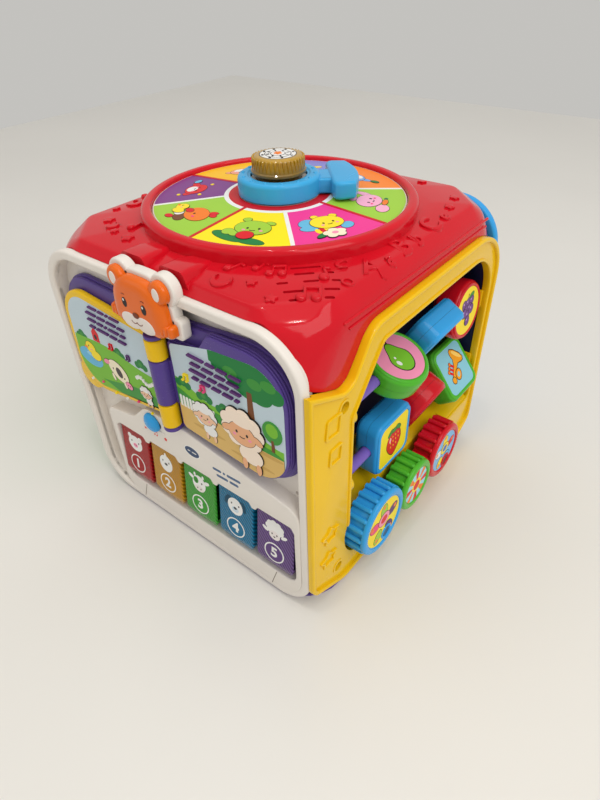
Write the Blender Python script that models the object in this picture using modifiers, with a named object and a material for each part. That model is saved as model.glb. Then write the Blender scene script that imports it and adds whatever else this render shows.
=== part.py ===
"""Baby activity cube: book and piano in front, spinning blocks and gears on the right, a dial on top.

Run with blender --background --python part.py, or from Blender's text editor. The object's frame
is +Z up with the origin at the centre of the base's underside; the book faces -Y and the gears
face +X. Sizes below are in millimetres, and every mesh is made in metres.
"""

import math

import bmesh
import bpy
from mathutils import Matrix, Vector

MM = 0.001
GAP = 0.3

# Body
HALF_WIDTH = 125.0
HALF_DEPTH = 133.5
PANEL_BOTTOM = 3.0
FRONT_TOP = 249.0
SIDE_TOP = 233.0
BASE_PLATE = 2.7
CAP_BOTTOM = 197.0
CAP_TOP = 259.0
CAP_WALL = 3.0
RIM_DEPTH = 7.5
RIM_WIDTH = 7.5
RECESS_FLOOR = -121.5
FLOOR_THICK = 3.0
SIDE_INNER = 122.0
SIDE_FACE = 127.5
SIDE_LIP = 130.0

# Dial
RING_OUTER = 103.0
RING_INNER = 94.9
RING_TOP = 269.0
DISC_RADIUS = 94.6
DISC_EDGE = 266.0
DISC_CROWN = 269.6
POST_RADIUS = 20.6
POST_BORE = 17.2
POST_TOP = 281.0
HUB_RADIUS = 30.6
HUB_BOTTOM = 270.2
HUB_TOP = 284.0
ARM_TOP = 283.0
ARM_ANGLE = math.radians(43)
BUTTON_SEAT = 285.2
BUTTON_TOP = 297.8

# Book
SPINE_X = 1.0
SPINE_Y = -136.0
BARREL_RADIUS = 7.4
LEAF_BACK = -128.6
LEAF_FRONT = -133.9
PAD_BACK = -121.8
PAD_FRONT = -128.2
PIN_RADIUS = 1.5
PIN_BORE = 1.9

# Piano
KEY_COUNT = 5
KEY_PITCH = 40.0
KEY_WIDTH = 36.0
FIRST_KEY_X = -67.0
KEY_PIVOT_Y = -122.0
KEY_PIVOT_Z = 97.5
KEY_BOTTOM = 30.0
VALANCE_EDGE = 93.0
SWITCH_X = -29.0
SWITCH_Z = 121.0

# Right side
BAY_FRONT = -85.0
BAY_REAR = 122.0
BAY_RIDGE = 58.0
BAY_CEILING = 214.0
ROD_X = 113.0
ROD_RADIUS = 4.7
ROD_HEIGHTS = {"upper": 165.5, "lower": 99.5}
BLOCK_SIZE = 51.0
BLOCK_THICK = 22.0
BLOCK_BORE = 5.2
GEAR_MODULE = 2.98
GEAR_BACK = 129.5
GEAR_FACE = 143.5
AXLE_RADIUS = 4.0
POCKET_FLOOR = 117.5

# Battery box
WELL_HALF_X = 32.0
WELL_FRONT = 24.0
WELL_REAR = 58.0
DOOR_REAR = 70.0
BATTERY_RADIUS = 7.1
BATTERY_LENGTH = 50.0

RED = (0.68, 0.012, 0.03)
WHITE = (0.82, 0.78, 0.74)
YELLOW = (0.95, 0.58, 0.01)
BLUE = (0.03, 0.35, 0.80)
GREEN = (0.09, 0.48, 0.03)
PURPLE = (0.11, 0.06, 0.33)
LILAC = (0.20, 0.11, 0.52)
ORANGE = (0.83, 0.16, 0.01)
NAVY = (0.01, 0.012, 0.05)
STEEL = (0.6, 0.6, 0.62)
BOARD = (0.02, 0.16, 0.05)
AMBER = (0.55, 0.32, 0.01)
KEY_COLOURS = ((0.35, 0.01, 0.01), (0.45, 0.22, 0.01), (0.03, 0.3, 0.02), (0.01, 0.15, 0.3), (0.1, 0.04, 0.2))


# ---------------------------------------------------------------- building helpers


def clear_scene():
    for old in list(bpy.data.objects):
        bpy.data.objects.remove(old)


def new_collection(name):
    collection = bpy.data.collections.new(name)
    bpy.context.scene.collection.children.link(collection)
    return collection


def plastic(name, colour, roughness=0.3, metallic=0.0):
    material = bpy.data.materials.new(name)
    material.use_nodes = True
    shader = material.node_tree.nodes["Principled BSDF"]
    shader.inputs["Base Color"].default_value = (*colour, 1.0)
    shader.inputs["Roughness"].default_value = roughness
    shader.inputs["Metallic"].default_value = metallic
    return material


def mesh_object(name, mesh):
    piece = bpy.data.objects.new(name, mesh)
    tools.objects.link(piece)
    piece.hide_render = True
    piece.display_type = "WIRE"
    return piece


def keep(piece, name, colour, roughness=0.3, metallic=0.0, origin=None):
    """Makes a built shape one of the object's pieces, with its origin on its joint's axis."""
    piece.name = name
    piece.data.name = name
    tools.objects.unlink(piece)
    cube.objects.link(piece)
    piece.hide_render = False
    piece.display_type = "TEXTURED"
    piece.data.materials.append(plastic(name, colour, roughness, metallic))
    piece.data.shade_smooth()
    piece.data.set_sharp_from_angle(angle=math.radians(35))
    if origin:
        place = Vector(origin) * MM
        piece.data.transform(Matrix.Translation(-place))
        piece.location = place
    return piece


def arc(x, y, radius, start, end, steps):
    """Points along an arc, with the angles in degrees."""
    points = []
    for k in range(steps + 1):
        angle = math.radians(start + (end - start) * k / steps)
        points.append((x + radius * math.cos(angle), y + radius * math.sin(angle)))
    return points


def rounded(corners, steps=6):
    """A closed outline through (x, y, radius) corners, each rounded by a true arc."""
    outline = []
    for i, (x, y, radius) in enumerate(corners):
        here = Vector((x, y))
        if radius == 0:
            outline.append((x, y))
            continue
        back = (Vector(corners[i - 1][:2]) - here).normalized()
        ahead = (Vector(corners[(i + 1) % len(corners)][:2]) - here).normalized()
        half = back.angle(ahead) / 2
        centre = here + (back + ahead).normalized() * radius / math.sin(half)
        start = here + back * radius / math.tan(half) - centre
        end = here + ahead * radius / math.tan(half) - centre
        first = math.degrees(math.atan2(start.y, start.x))
        turn = (math.degrees(math.atan2(end.y, end.x)) - first + 180) % 360 - 180
        outline += arc(centre.x, centre.y, radius, first, first + turn, steps)
    return outline


def box_outline(left, bottom, right, top, radius, steps=6):
    corners = ((left, bottom, radius), (right, bottom, radius), (right, top, radius), (left, top, radius))
    return rounded(corners, steps)


def inset(outline, distance):
    """A counterclockwise outline moved inwards by a distance; a negative one moves it outwards."""
    moved = []
    for i, point in enumerate(outline):
        here = Vector(point)
        before = (here - Vector(outline[i - 1])).normalized()
        after = (Vector(outline[(i + 1) % len(outline)]) - here).normalized()
        normal = Vector((-before.y - after.y, before.x + after.x)).normalized()
        slant = max(normal.dot(Vector((-before.y, before.x))), 0.5)
        moved.append(tuple(here + normal * distance / slant))
    return moved


def slab(outline, low, high, axis):
    """A flat outline made solid between two planes square to an axis.

    The outline's two numbers are (x, y) for Z, (x, z) for Y and (y, z) for X.
    """
    curve = bpy.data.curves.new("slab", "CURVE")
    curve.dimensions = "2D"
    curve.fill_mode = "BOTH"
    curve.extrude = (high - low) / 2 * MM
    spline = curve.splines.new("POLY")
    spline.points.add(len(outline) - 1)
    for point, (u, v) in zip(spline.points, outline):
        point.co = (u * MM, v * MM, 0, 1)
    spline.use_cyclic_u = True
    guide = bpy.data.objects.new("slab", curve)
    tools.objects.link(guide)
    bpy.context.view_layer.update()
    depsgraph = bpy.context.evaluated_depsgraph_get()
    mesh = bpy.data.meshes.new_from_object(guide.evaluated_get(depsgraph))
    bpy.data.objects.remove(guide)
    body = bmesh.new()
    body.from_mesh(mesh)
    bmesh.ops.remove_doubles(body, verts=body.verts, dist=1e-6)
    bmesh.ops.recalc_face_normals(body, faces=body.faces)
    body.to_mesh(mesh)
    body.free()
    middle = (low + high) / 2 * MM
    if axis == "X":
        turn = Matrix(((0, 0, 1, middle), (1, 0, 0, 0), (0, 1, 0, 0), (0, 0, 0, 1)))
    elif axis == "Y":
        turn = Matrix(((1, 0, 0, 0), (0, 0, -1, middle), (0, 1, 0, 0), (0, 0, 0, 1)))
    else:
        turn = Matrix.Translation((0, 0, middle))
    mesh.transform(turn)
    return mesh_object("slab", mesh)


def block(low, high):
    body = bmesh.new()
    bmesh.ops.create_cube(body, size=MM)
    size = Vector(high) - Vector(low)
    centre = (Vector(high) + Vector(low)) / 2 * MM
    bmesh.ops.transform(body, matrix=Matrix.Translation(centre) @ Matrix.Diagonal((*size, 1)), verts=body.verts)
    mesh = bpy.data.meshes.new("block")
    body.to_mesh(mesh)
    body.free()
    return mesh_object("block", mesh)


def drum(radius, low, high, axis="Z", centre=(0, 0), segments=24):
    """A cylinder along an axis; its centre is given in the two other axes' order."""
    body = bmesh.new()
    bmesh.ops.create_cone(
        body, cap_ends=True, segments=segments, radius1=radius * MM, radius2=radius * MM, depth=(high - low) * MM
    )
    middle = (low + high) / 2
    if axis == "X":
        place = Matrix.Translation(Vector((middle, *centre)) * MM) @ Matrix.Rotation(math.pi / 2, 4, "Y")
    elif axis == "Y":
        place = Matrix.Translation(Vector((centre[0], middle, centre[1])) * MM) @ Matrix.Rotation(math.pi / 2, 4, "X")
    else:
        place = Matrix.Translation(Vector((*centre, middle)) * MM)
    bmesh.ops.transform(body, matrix=place, verts=body.verts)
    mesh = bpy.data.meshes.new("drum")
    body.to_mesh(mesh)
    body.free()
    return mesh_object("drum", mesh)


def turned(profile, steps=48, closed=False):
    """A (radius, height) profile, run from top to bottom, swept round Z by a Screw modifier."""
    points = [(r * MM, 0, z * MM) for r, z in profile]
    edges = [(i, i + 1) for i in range(len(points) - 1)]
    if closed:
        edges.append((len(points) - 1, 0))
    mesh = bpy.data.meshes.new("turned")
    mesh.from_pydata(points, edges, [])
    piece = mesh_object("turned", mesh)
    screw = piece.modifiers.new("turn", "SCREW")
    screw.steps = steps
    screw.render_steps = steps
    screw.use_merge_vertices = True
    screw.merge_threshold = 1e-6
    return baked(piece)


def baked(piece):
    """The same shape with its modifiers made real."""
    bpy.context.view_layer.update()
    depsgraph = bpy.context.evaluated_depsgraph_get()
    mesh = bpy.data.meshes.new_from_object(piece.evaluated_get(depsgraph))
    bpy.data.objects.remove(piece)
    return mesh_object("shape", mesh)


def combine(target, operation, pieces):
    for piece in pieces:
        modifier = target.modifiers.new(operation.lower(), "BOOLEAN")
        modifier.operation = operation
        modifier.solver = "EXACT"
        modifier.object = piece
    return target


def cut(target, *pieces):
    return combine(target, "DIFFERENCE", pieces)


def join(target, *pieces):
    return combine(target, "UNION", pieces)


# ---------------------------------------------------------------- outlines shared by neighbours


def front_outline():
    """The front and back panels' outline in (x, z)."""
    low_radius = 32
    top_radius = 39
    corners = (
        (-HALF_WIDTH, PANEL_BOTTOM, low_radius),
        (HALF_WIDTH, PANEL_BOTTOM, low_radius),
        (HALF_WIDTH, FRONT_TOP, top_radius),
        (-HALF_WIDTH, FRONT_TOP, top_radius),
    )
    return rounded(corners, 8)


def side_outline():
    """The side panels' outline in (y, z): it dips at the front, under the cap's round corner."""
    low_radius = 38
    corners = (
        (-HALF_DEPTH, PANEL_BOTTOM, low_radius),
        (HALF_DEPTH, PANEL_BOTTOM, low_radius),
        (HALF_DEPTH, SIDE_TOP, 48),
        (-68, SIDE_TOP, 22),
        (-92, 198, 12),
        (-HALF_DEPTH, 217, 0),
    )
    return rounded(corners, 7)


def bay_outline(bottom, grow_front=0.0, grow=0.0):
    """The opening round the spinning blocks in (y, z)."""
    front = BAY_FRONT - grow_front
    corners = (
        (front, bottom, 0),
        (BAY_REAR + grow, bottom, 0),
        (BAY_REAR + grow, BAY_CEILING + grow, 40 + grow),
        (-53, BAY_CEILING + grow, 8),
        (front, 172, 8),
    )
    return rounded(corners, 6)


# ---------------------------------------------------------------- body shells


def cap_sections(wall):
    """Rounded rectangles stacked into the cap's outer form, or its hollow when a wall is given."""
    levels = (
        (CAP_BOTTOM, 2.0, 18.0),
        (215.0, 1.0, 26.0),
        (233.0, 1.2, 38.0),
        (244.0, 3.5, 46.0),
        (250.0, 8.0, 50.0),
        (254.0, 15.0, 52.0),
        (257.0, 24.0, 50.0),
        (CAP_TOP, 36.0, 45.0),
    )
    sections = []
    for height, edge, radius in levels:
        z = height - wall if height > 240 else height
        z = CAP_BOTTOM - wall if height == CAP_BOTTOM else z
        x = HALF_WIDTH - edge - wall
        y = HALF_DEPTH - edge - wall
        outline = box_outline(-x, -y, x, y, max(radius - wall, 4), 7)
        sections.append([(u, v, z) for u, v in outline])
    return sections


def loft(sections):
    body = bmesh.new()
    rings = []
    for section in sections:
        rings.append([body.verts.new(Vector(point) * MM) for point in section])
    for lower, upper in zip(rings, rings[1:]):
        for i in range(len(lower)):
            body.faces.new((lower[i - 1], lower[i], upper[i], upper[i - 1]))
    body.faces.new(rings[-1])
    body.faces.new(list(reversed(rings[0])))
    mesh = bpy.data.meshes.new("loft")
    body.to_mesh(mesh)
    body.free()
    return mesh_object("loft", mesh)


def grille_slots():
    """Five sound slots on arcs round the dial, at the cap's front right corner."""
    slots = []
    for radius in (107.5, 114.5, 121.5, 129.0, 137.0):
        outer = arc(0, 0, radius + 0.9, -56, -36, 8)
        inner = arc(0, 0, radius - 0.9, -36, -56, 8)
        slots.append(slab(outer + inner, 238, 275, "Z"))
    return slots


def make_top_cap():
    cap = loft(cap_sections(0))
    ring = turned(
        [(RING_OUTER - 3, RING_TOP), (RING_OUTER, RING_TOP - 3), (RING_OUTER, 256), (RING_INNER, 256), (RING_INNER, RING_TOP)],
        64,
        closed=True,
    )
    humps = [drum(15, -126, -98, "Y", (side * 17, 246), 20) for side in (-1, 1)]
    join(cap, ring, *humps)
    cut(cap, loft(cap_sections(CAP_WALL)))
    cut(cap, slab(inset(front_outline(), -GAP), -HALF_DEPTH - 5, -HALF_DEPTH + RIM_DEPTH + GAP, "Y"))
    cut(cap, slab(inset(front_outline(), -GAP), HALF_DEPTH - RIM_DEPTH - GAP, HALF_DEPTH + 5, "Y"))
    tray_back = RECESS_FLOOR + FLOOR_THICK + GAP
    cut(cap, slab(inset(front_outline(), RIM_WIDTH - GAP), -130, tray_back, "Y"))
    side = inset(side_outline(), -GAP)
    cut(cap, slab(side, SIDE_INNER - 3.5, SIDE_LIP + 5, "X"))
    cut(cap, slab(side, -SIDE_LIP - 5, -SIDE_INNER + 3.5, "X"))
    cut(cap, drum(8, 240, 275))
    cut(cap, *grille_slots())
    keep(cap, "top_cap", RED, 0.16)


def piano_outline():
    """The raised housing round the keys in (x, z), with its crowned top."""
    corners = (
        (-93, 19, 12),
        (118.4, 19, 12),
        (118.4, 112, 14),
        (58, 123, 40),
        (8, 131, 20),
        (-38, 130.5, 14),
        (-56, 113, 14),
        (-93, 106.5, 9),
    )
    return rounded(corners, 5)


def bear_shapes(grow, back, front):
    """Head, ears and paws, each a solid of its own, that a Boolean union joins."""
    head = slab(rounded(((-27, 219, 12), (27, 219, 12), (23, 257, 20), (-23, 257, 20)), 6), front, back, "Y")
    shapes = [head] if grow == 0 else [
        slab(rounded(((-29.5, 216.6, 13), (29.5, 216.6, 13), (26, 260, 23), (-26, 260, 23)), 6), front, back, "Y")
    ]
    for side in (-1, 1):
        shapes.append(drum(8 + grow, front, back, "Y", (side * 20, 252), 18))
        paw_bottom = 224.0 - grow * 1.2
        paw = rounded(((side * 18, paw_bottom, 0), (side * (30 + grow), paw_bottom, 4), (side * (30 + grow), 232 + grow, 4), (side * 18, 232 + grow, 0)), 4)
        shapes.append(slab(paw, front, back, "Y"))
    return shapes


def make_front_panel():
    outline = front_outline()
    panel = slab(outline, -HALF_DEPTH, -HALF_DEPTH + RIM_DEPTH, "Y")
    tray_back = RECESS_FLOOR + FLOOR_THICK
    join(panel, slab(inset(outline, RIM_WIDTH), -HALF_DEPTH + RIM_DEPTH - 1, tray_back, "Y"))
    cut(panel, slab(inset(outline, RIM_WIDTH), -HALF_DEPTH - 1, RECESS_FLOOR, "Y"))
    join(panel, slab(piano_outline(), -HALF_DEPTH, RECESS_FLOOR + 1, "Y"))
    border = bear_shapes(3.2, -129.0, -137.0)
    neck = slab(box_outline(-22, 236, 22, 248.5, 3, 2), -131, -126.2, "Y")
    join(panel, neck, *border)
    left = FIRST_KEY_X - KEY_WIDTH / 2 - 1.5
    right = FIRST_KEY_X + (KEY_COUNT - 1) * KEY_PITCH + KEY_WIDTH / 2 + 1.5
    cut(panel, block((left, -140, KEY_BOTTOM - 2), (right, -110, VALANCE_EDGE)))
    cut(panel, block((left, -130.8, VALANCE_EDGE - 1), (right, -110, KEY_PIVOT_Z + 4.5)))
    cut(panel, drum(PIN_BORE, left - 5.5, right + 3.5, "X", (KEY_PIVOT_Y, KEY_PIVOT_Z), 12))
    slot = box_outline(SWITCH_X - 9.8, SWITCH_Z - 3.6, SWITCH_X + 9.8, SWITCH_Z + 3.6, 0.8, 3)
    cut(panel, slab(slot, -145, -110, "Y"))
    keep(panel, "front_panel", WHITE, 0.35)


def make_back_panel():
    outline = front_outline()
    panel = slab(outline, HALF_DEPTH - RIM_DEPTH, HALF_DEPTH, "Y")
    cut(panel, slab(inset(outline, RIM_WIDTH), HALF_DEPTH - RIM_DEPTH + FLOOR_THICK, HALF_DEPTH + 1, "Y"))
    keep(panel, "back_panel", BLUE, 0.3)


def corner_rebates(side):
    """Boxes that free the front and back panels' edges from a side panel; the left one stops behind them."""
    edges = []
    reach = HALF_WIDTH + GAP if side > 0 else SIDE_LIP + 5
    for end in (-1, 1):
        near = end * (HALF_DEPTH - RIM_DEPTH - GAP)
        far = end * (HALF_DEPTH + 5)
        xs = sorted((side * 110, side * reach))
        ys = sorted((near, far))
        edges.append(block((xs[0], ys[0], -5), (xs[1], ys[1], 260)))
    return edges


def make_left_panel():
    outline = side_outline()
    panel = slab(outline, -SIDE_LIP, -SIDE_INNER, "X")
    cut(panel, slab(inset(outline, 4), -SIDE_LIP - 1, -SIDE_FACE, "X"))
    cut(panel, *corner_rebates(-1))
    keep(panel, "side_panel_left", GREEN, 0.3)


# ---------------------------------------------------------------- gears

GEAR_TEETH = {"blue": 20, "green": 16, "red": 18}
GEAR_COLOURS = {"blue": BLUE, "green": GREEN, "red": RED}


def gear_radius(name):
    return GEAR_MODULE * GEAR_TEETH[name] / 2


def gear_layout():
    """Each gear's centre in (y, z) and the angle of its first tooth, so that the three mesh at rest."""
    blue = Vector((-57, 50))
    step = gear_radius("blue") + gear_radius("green")
    drop = -3.0
    green = blue + Vector((math.sqrt(step**2 - drop**2), drop))
    step = gear_radius("green") + gear_radius("red")
    rise = 2.0
    red = green + Vector((math.sqrt(step**2 - rise**2), rise))
    towards_green = math.atan2(green.y - blue.y, green.x - blue.x)
    towards_red = math.atan2(red.y - green.y, red.x - green.x)
    blue_tooth = towards_green
    green_tooth = towards_green + math.pi + math.pi / GEAR_TEETH["green"]
    pitch = 2 * math.pi / GEAR_TEETH["green"]
    offset = (green_tooth - towards_red) % pitch
    ratio = GEAR_TEETH["green"] / GEAR_TEETH["red"]
    red_tooth = towards_red + math.pi - offset * ratio + math.pi / GEAR_TEETH["red"]
    return {"blue": (blue, blue_tooth), "green": (green, green_tooth), "red": (red, red_tooth)}


def gear_outline(name, centre, first_tooth):
    root = gear_radius(name) - 2.2
    tip = gear_radius(name) + 1.3
    teeth = GEAR_TEETH[name]
    foot = 2.1 / root
    crest = 1.15 / tip
    outline = []
    for k in range(teeth):
        middle = first_tooth + 2 * math.pi * k / teeth
        for radius, angle in ((root, middle - foot), (tip, middle - crest), (tip, middle + crest), (root, middle + foot)):
            outline.append((centre.x + radius * math.cos(angle), centre.y + radius * math.sin(angle)))
    return outline


def make_gears():
    for name, (centre, first_tooth) in gear_layout().items():
        gear = slab(gear_outline(name, centre, first_tooth), GEAR_BACK, GEAR_FACE, "X")
        join(gear, drum(9, POCKET_FLOOR + 0.8, GEAR_BACK + 1, "X", centre, 20))
        cut(gear, drum(AXLE_RADIUS + 0.4, POCKET_FLOOR, GEAR_FACE - 5, "X", centre, 16))
        if name != "green":
            hole = centre + Vector((0.3, -1)).normalized() * gear_radius(name) * 0.56
            cut(gear, drum(5, GEAR_FACE - 10, GEAR_FACE + 2, "X", hole, 14))
        keep(gear, f"gear_{name}", GEAR_COLOURS[name], 0.25, origin=(GEAR_BACK, *centre))
        axle = drum(AXLE_RADIUS, POCKET_FLOOR + GAP, GEAR_FACE - 6, "X", centre, 16)
        keep(axle, f"gear_axle_{name}", STEEL, 0.3, 1.0)


# ---------------------------------------------------------------- right side and its bay


def make_right_panel():
    outline = side_outline()
    panel = slab(outline, SIDE_INNER, SIDE_LIP, "X")
    cut(panel, slab(inset(outline, 3), SIDE_FACE, SIDE_LIP + 1, "X"))
    cut(panel, slab(bay_outline(BAY_RIDGE), SIDE_INNER - 1, SIDE_LIP + 1, "X"))
    cheek_top = 77.0
    ramp = slab(((80, 72), (126, 56), (127.4, 59), (80, 75)), BAY_FRONT - 1, BAY_REAR + 1, "Y")
    cheeks = [
        block((79, BAY_FRONT - 3, 55), (SIDE_INNER + 1.4, BAY_FRONT - 0.2, cheek_top)),
        block((79, BAY_REAR + 0.2, 55), (SIDE_INNER + 1.4, BAY_REAR + 3, cheek_top)),
    ]
    lower = slab(box_outline(-100, 10, 92, BAY_RIDGE - 1.3, 20, 4), POCKET_FLOOR - 3, SIDE_INNER + 1, "X")
    lugs = []
    for height in ROD_HEIGHTS.values():
        lugs.append(drum(8.5, BAY_FRONT - 5, BAY_FRONT + 8, "Y", (117.5, height), 16))
        lugs.append(block((105, BAY_REAR - 1.5, height - 8), (SIDE_INNER + 1.8, BAY_REAR + 0.4, height + 8)))
    join(panel, ramp, *cheeks, lower, *lugs)
    for name, (centre, _) in gear_layout().items():
        cut(panel, drum(gear_radius(name) + 3.6, POCKET_FLOOR, 150, "X", centre, 32))
    for height in ROD_HEIGHTS.values():
        cut(panel, drum(ROD_RADIUS + GAP, BAY_FRONT - 12, BAY_REAR + 1, "Y", (ROD_X, height), 16))
    for y, z in SCREW_HOLES:
        cut(panel, drum(4.4, 110, 140, "X", (y, z), 14))
    cut(panel, *corner_rebates(1))
    keep(panel, "side_panel_right", YELLOW, 0.25)


SCREW_HOLES = ((-96.0, 187.0), (-99.0, 26.0))


def make_bay_liner():
    liner = slab(bay_outline(77.5, 11.5, 3.0), 72, SIDE_INNER - GAP, "X")
    cut(liner, slab(bay_outline(70, 9.0, 0.6), 74.5, SIDE_INNER + 2, "X"))
    keep(liner, "bay_liner", NAVY, 0.5)


def make_rods():
    for row, height in ROD_HEIGHTS.items():
        rod = drum(ROD_RADIUS, BAY_FRONT - 8.5, BAY_REAR - 0.3, "Y", (ROD_X, height), 20)
        keep(rod, f"block_rod_{row}", LILAC, 0.3)


# name: (row, centre along Y, tilt of the picture face from +X up, round or square, colour)
BLOCKS = {
    "block_pear": ("upper", -11.0, 66.0, "round", GREEN),
    "block_blue_upper": ("upper", 41.4, -31.0, "square", BLUE),
    "block_grapes": ("upper", 94.0, 4.0, "round", RED),
    "block_berry": ("lower", -17.0, 0.0, "square", BLUE),
    "block_red_lower": ("lower", 40.0, -25.0, "round", RED),
    "block_trumpet": ("lower", 94.5, 37.0, "square", GREEN),
}


def make_blocks():
    half = BLOCK_SIZE / 2
    for name, (row, y, tilt, shape, colour) in BLOCKS.items():
        if shape == "round":
            outline = arc(0, 0, half + 0.5, 0, 348.75, 31)
        else:
            outline = box_outline(-half, -half, half, half, 9, 4)
        piece = slab(outline, -BLOCK_THICK / 2, BLOCK_THICK / 2, "X")
        bevel = piece.modifiers.new("edges", "BEVEL")
        bevel.width = 4.0 * MM
        bevel.segments = 2
        bevel.limit_method = "ANGLE"
        bevel.angle_limit = math.radians(60)
        piece = baked(piece)
        piece = baked(cut(piece, drum(BLOCK_BORE, -40, 40, "Y", (0, 0), 16)))
        keep(piece, name, colour, 0.22)
        piece.location = Vector((ROD_X, y, ROD_HEIGHTS[row])) * MM
        piece.rotation_euler = (0, -math.radians(tilt), 0)


# ---------------------------------------------------------------- top


def make_dial():
    crown = 36
    disc = turned(
        [(21, DISC_CROWN), (crown, DISC_CROWN), (DISC_RADIUS, DISC_EDGE), (DISC_RADIUS, CAP_TOP + GAP), (21, CAP_TOP + GAP)],
        64,
        closed=True,
    )
    keep(disc, "dial_disc", WHITE, 0.3)
    post = turned(
        [(POST_RADIUS, POST_TOP), (POST_RADIUS, CAP_TOP + GAP), (POST_BORE, CAP_TOP + GAP), (POST_BORE, POST_TOP)],
        32,
        closed=True,
    )
    keep(post, "hub_post", WHITE, 0.4)
    keep(drum(16.6, 260, 261.6, segments=24), "light_board", BOARD, 0.5)


def make_pointer():
    """The hub and its arm, whose head is swept back at the corners and has a round outer edge."""
    hub = drum(HUB_RADIUS, HUB_BOTTOM, HUB_TOP, segments=40)
    neck = [(23, -13), (48, -13), (48, 13), (23, 13)]
    head = [(38, -26), (40, -27.5)] + arc(22, 0, 37, -44, 44, 8) + [(40, 27.5), (38, 26), (43, 10), (43, -10)]
    turn = Matrix.Rotation(ARM_ANGLE, 2)
    for shape in (neck, head):
        outline = [tuple(turn @ Vector(point)) for point in shape]
        join(hub, slab(outline, HUB_BOTTOM + 0.2, ARM_TOP, "Z"))
    cut(hub, drum(21, HUB_BOTTOM - 2, HUB_TOP + 2, segments=32))
    keep(hub, "pointer", BLUE, 0.2, origin=(0, 0, HUB_BOTTOM))


def make_light_button():
    profile = [(0, BUTTON_TOP), (10, BUTTON_TOP - 0.6), (17, 295.6), (19.2, 293), (20.3, BUTTON_SEAT + 1), (20.3, BUTTON_SEAT)]
    profile += [(16.8, BUTTON_SEAT), (16.8, 272.4), (0, 272.4)]
    keep(turned(profile, 32), "light_button", AMBER, 0.15, origin=(0, 0, BUTTON_SEAT))


def make_button_spring():
    """A helix of round wire under the button, with its ends flat on the board and the button."""
    turns = 4
    per_turn = 12
    wire = 0.7
    low = 261.9 + wire
    high = 272.1 - wire
    curve = bpy.data.curves.new("button_spring", "CURVE")
    curve.dimensions = "3D"
    curve.bevel_depth = wire * MM
    curve.bevel_resolution = 2
    curve.use_fill_caps = True
    spline = curve.splines.new("POLY")
    count = turns * per_turn + 1
    spline.points.add(count - 1)
    for k, point in enumerate(spline.points):
        angle = 2 * math.pi * k / per_turn
        rise = low + (high - low) * k / (count - 1)
        point.co = (9 * math.cos(angle) * MM, 9 * math.sin(angle) * MM, rise * MM, 1)
    guide = bpy.data.objects.new("button_spring", curve)
    tools.objects.link(guide)
    spring = baked(guide)
    body = bmesh.new()
    body.from_mesh(spring.data)
    bmesh.ops.remove_doubles(body, verts=body.verts, dist=1e-6)
    body.to_mesh(spring.data)
    body.free()
    keep(spring, "button_spring", STEEL, 0.3, 1.0)


# ---------------------------------------------------------------- bear, book and piano


def make_bear():
    shapes = bear_shapes(0, -137.3, -145.0)
    keep(join(shapes[0], *shapes[1:]), "bear_head", ORANGE, 0.2)


def pin_hole():
    return drum(PIN_BORE, 120, 230, "Z", (SPINE_X, SPINE_Y), 12)


def make_book_base():
    left = slab(rounded(((-8, 134.5, 0), (-8, 226, 0), (-112, 230, 30), (-114, 128, 30)), 6), PAD_FRONT, PAD_BACK, "Y")
    right = slab(rounded(((10, 226, 0), (10, 132, 0), (117, 124.5, 34), (117, 236, 36)), 6), PAD_FRONT, PAD_BACK, "Y")
    strip = block((-10, PAD_FRONT, 133), (12, PAD_BACK, 225))
    knuckles = []
    for low, high in ((133.2, 136.7), (212.9, 216.0)):
        knuckles.append(drum(7, low, high, "Z", (SPINE_X, SPINE_Y), 18))
        knuckles.append(block((SPINE_X - 6, SPINE_Y, low), (SPINE_X + 6, PAD_FRONT + 1, high)))
    join(left, strip, right, *knuckles)
    cut(left, pin_hole())
    keep(left, "book_base", PURPLE, 0.3)


def make_leaf(name, corners, barrels, side, colour):
    """A page with its hinge barrels; side is +1 for a page that rests on the right."""
    leaf = slab(rounded(corners, 6), LEAF_FRONT, LEAF_BACK, "Y")
    for low, high in barrels:
        root = sorted((SPINE_X, SPINE_X + side * 10))
        tab = block((root[0], LEAF_FRONT + 0.4, low + 0.5), (root[1], LEAF_BACK - 0.6, high - 0.5))
        join(leaf, tab, drum(BARREL_RADIUS, low, high, "Z", (SPINE_X, SPINE_Y), 20))
    cut(leaf, pin_hole())
    keep(leaf, name, colour, 0.3, origin=(SPINE_X, SPINE_Y, 175))


def make_book():
    make_book_base()
    yellow = ((-8, 138.6, 0), (-8, 211.4, 0), (-112, 221, 28), (-115, 122.5, 28))
    make_leaf("book_page_yellow", yellow, ((137, 157.7), (196.3, 212.6)), -1, YELLOW)
    purple = ((10, 213, 3), (10, 137, 3), (113, 127.5, 32), (114.5, 232.5, 34), (50, 231, 8), (38, 214.5, 8))
    make_leaf("book_page_purple", purple, ((158.3, 195.7),), 1, PURPLE)
    pin = drum(PIN_RADIUS, 133.4, 215.8, "Z", (SPINE_X, SPINE_Y), 12)
    keep(pin, "book_hinge_pin", STEEL, 0.3, 1.0)


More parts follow.
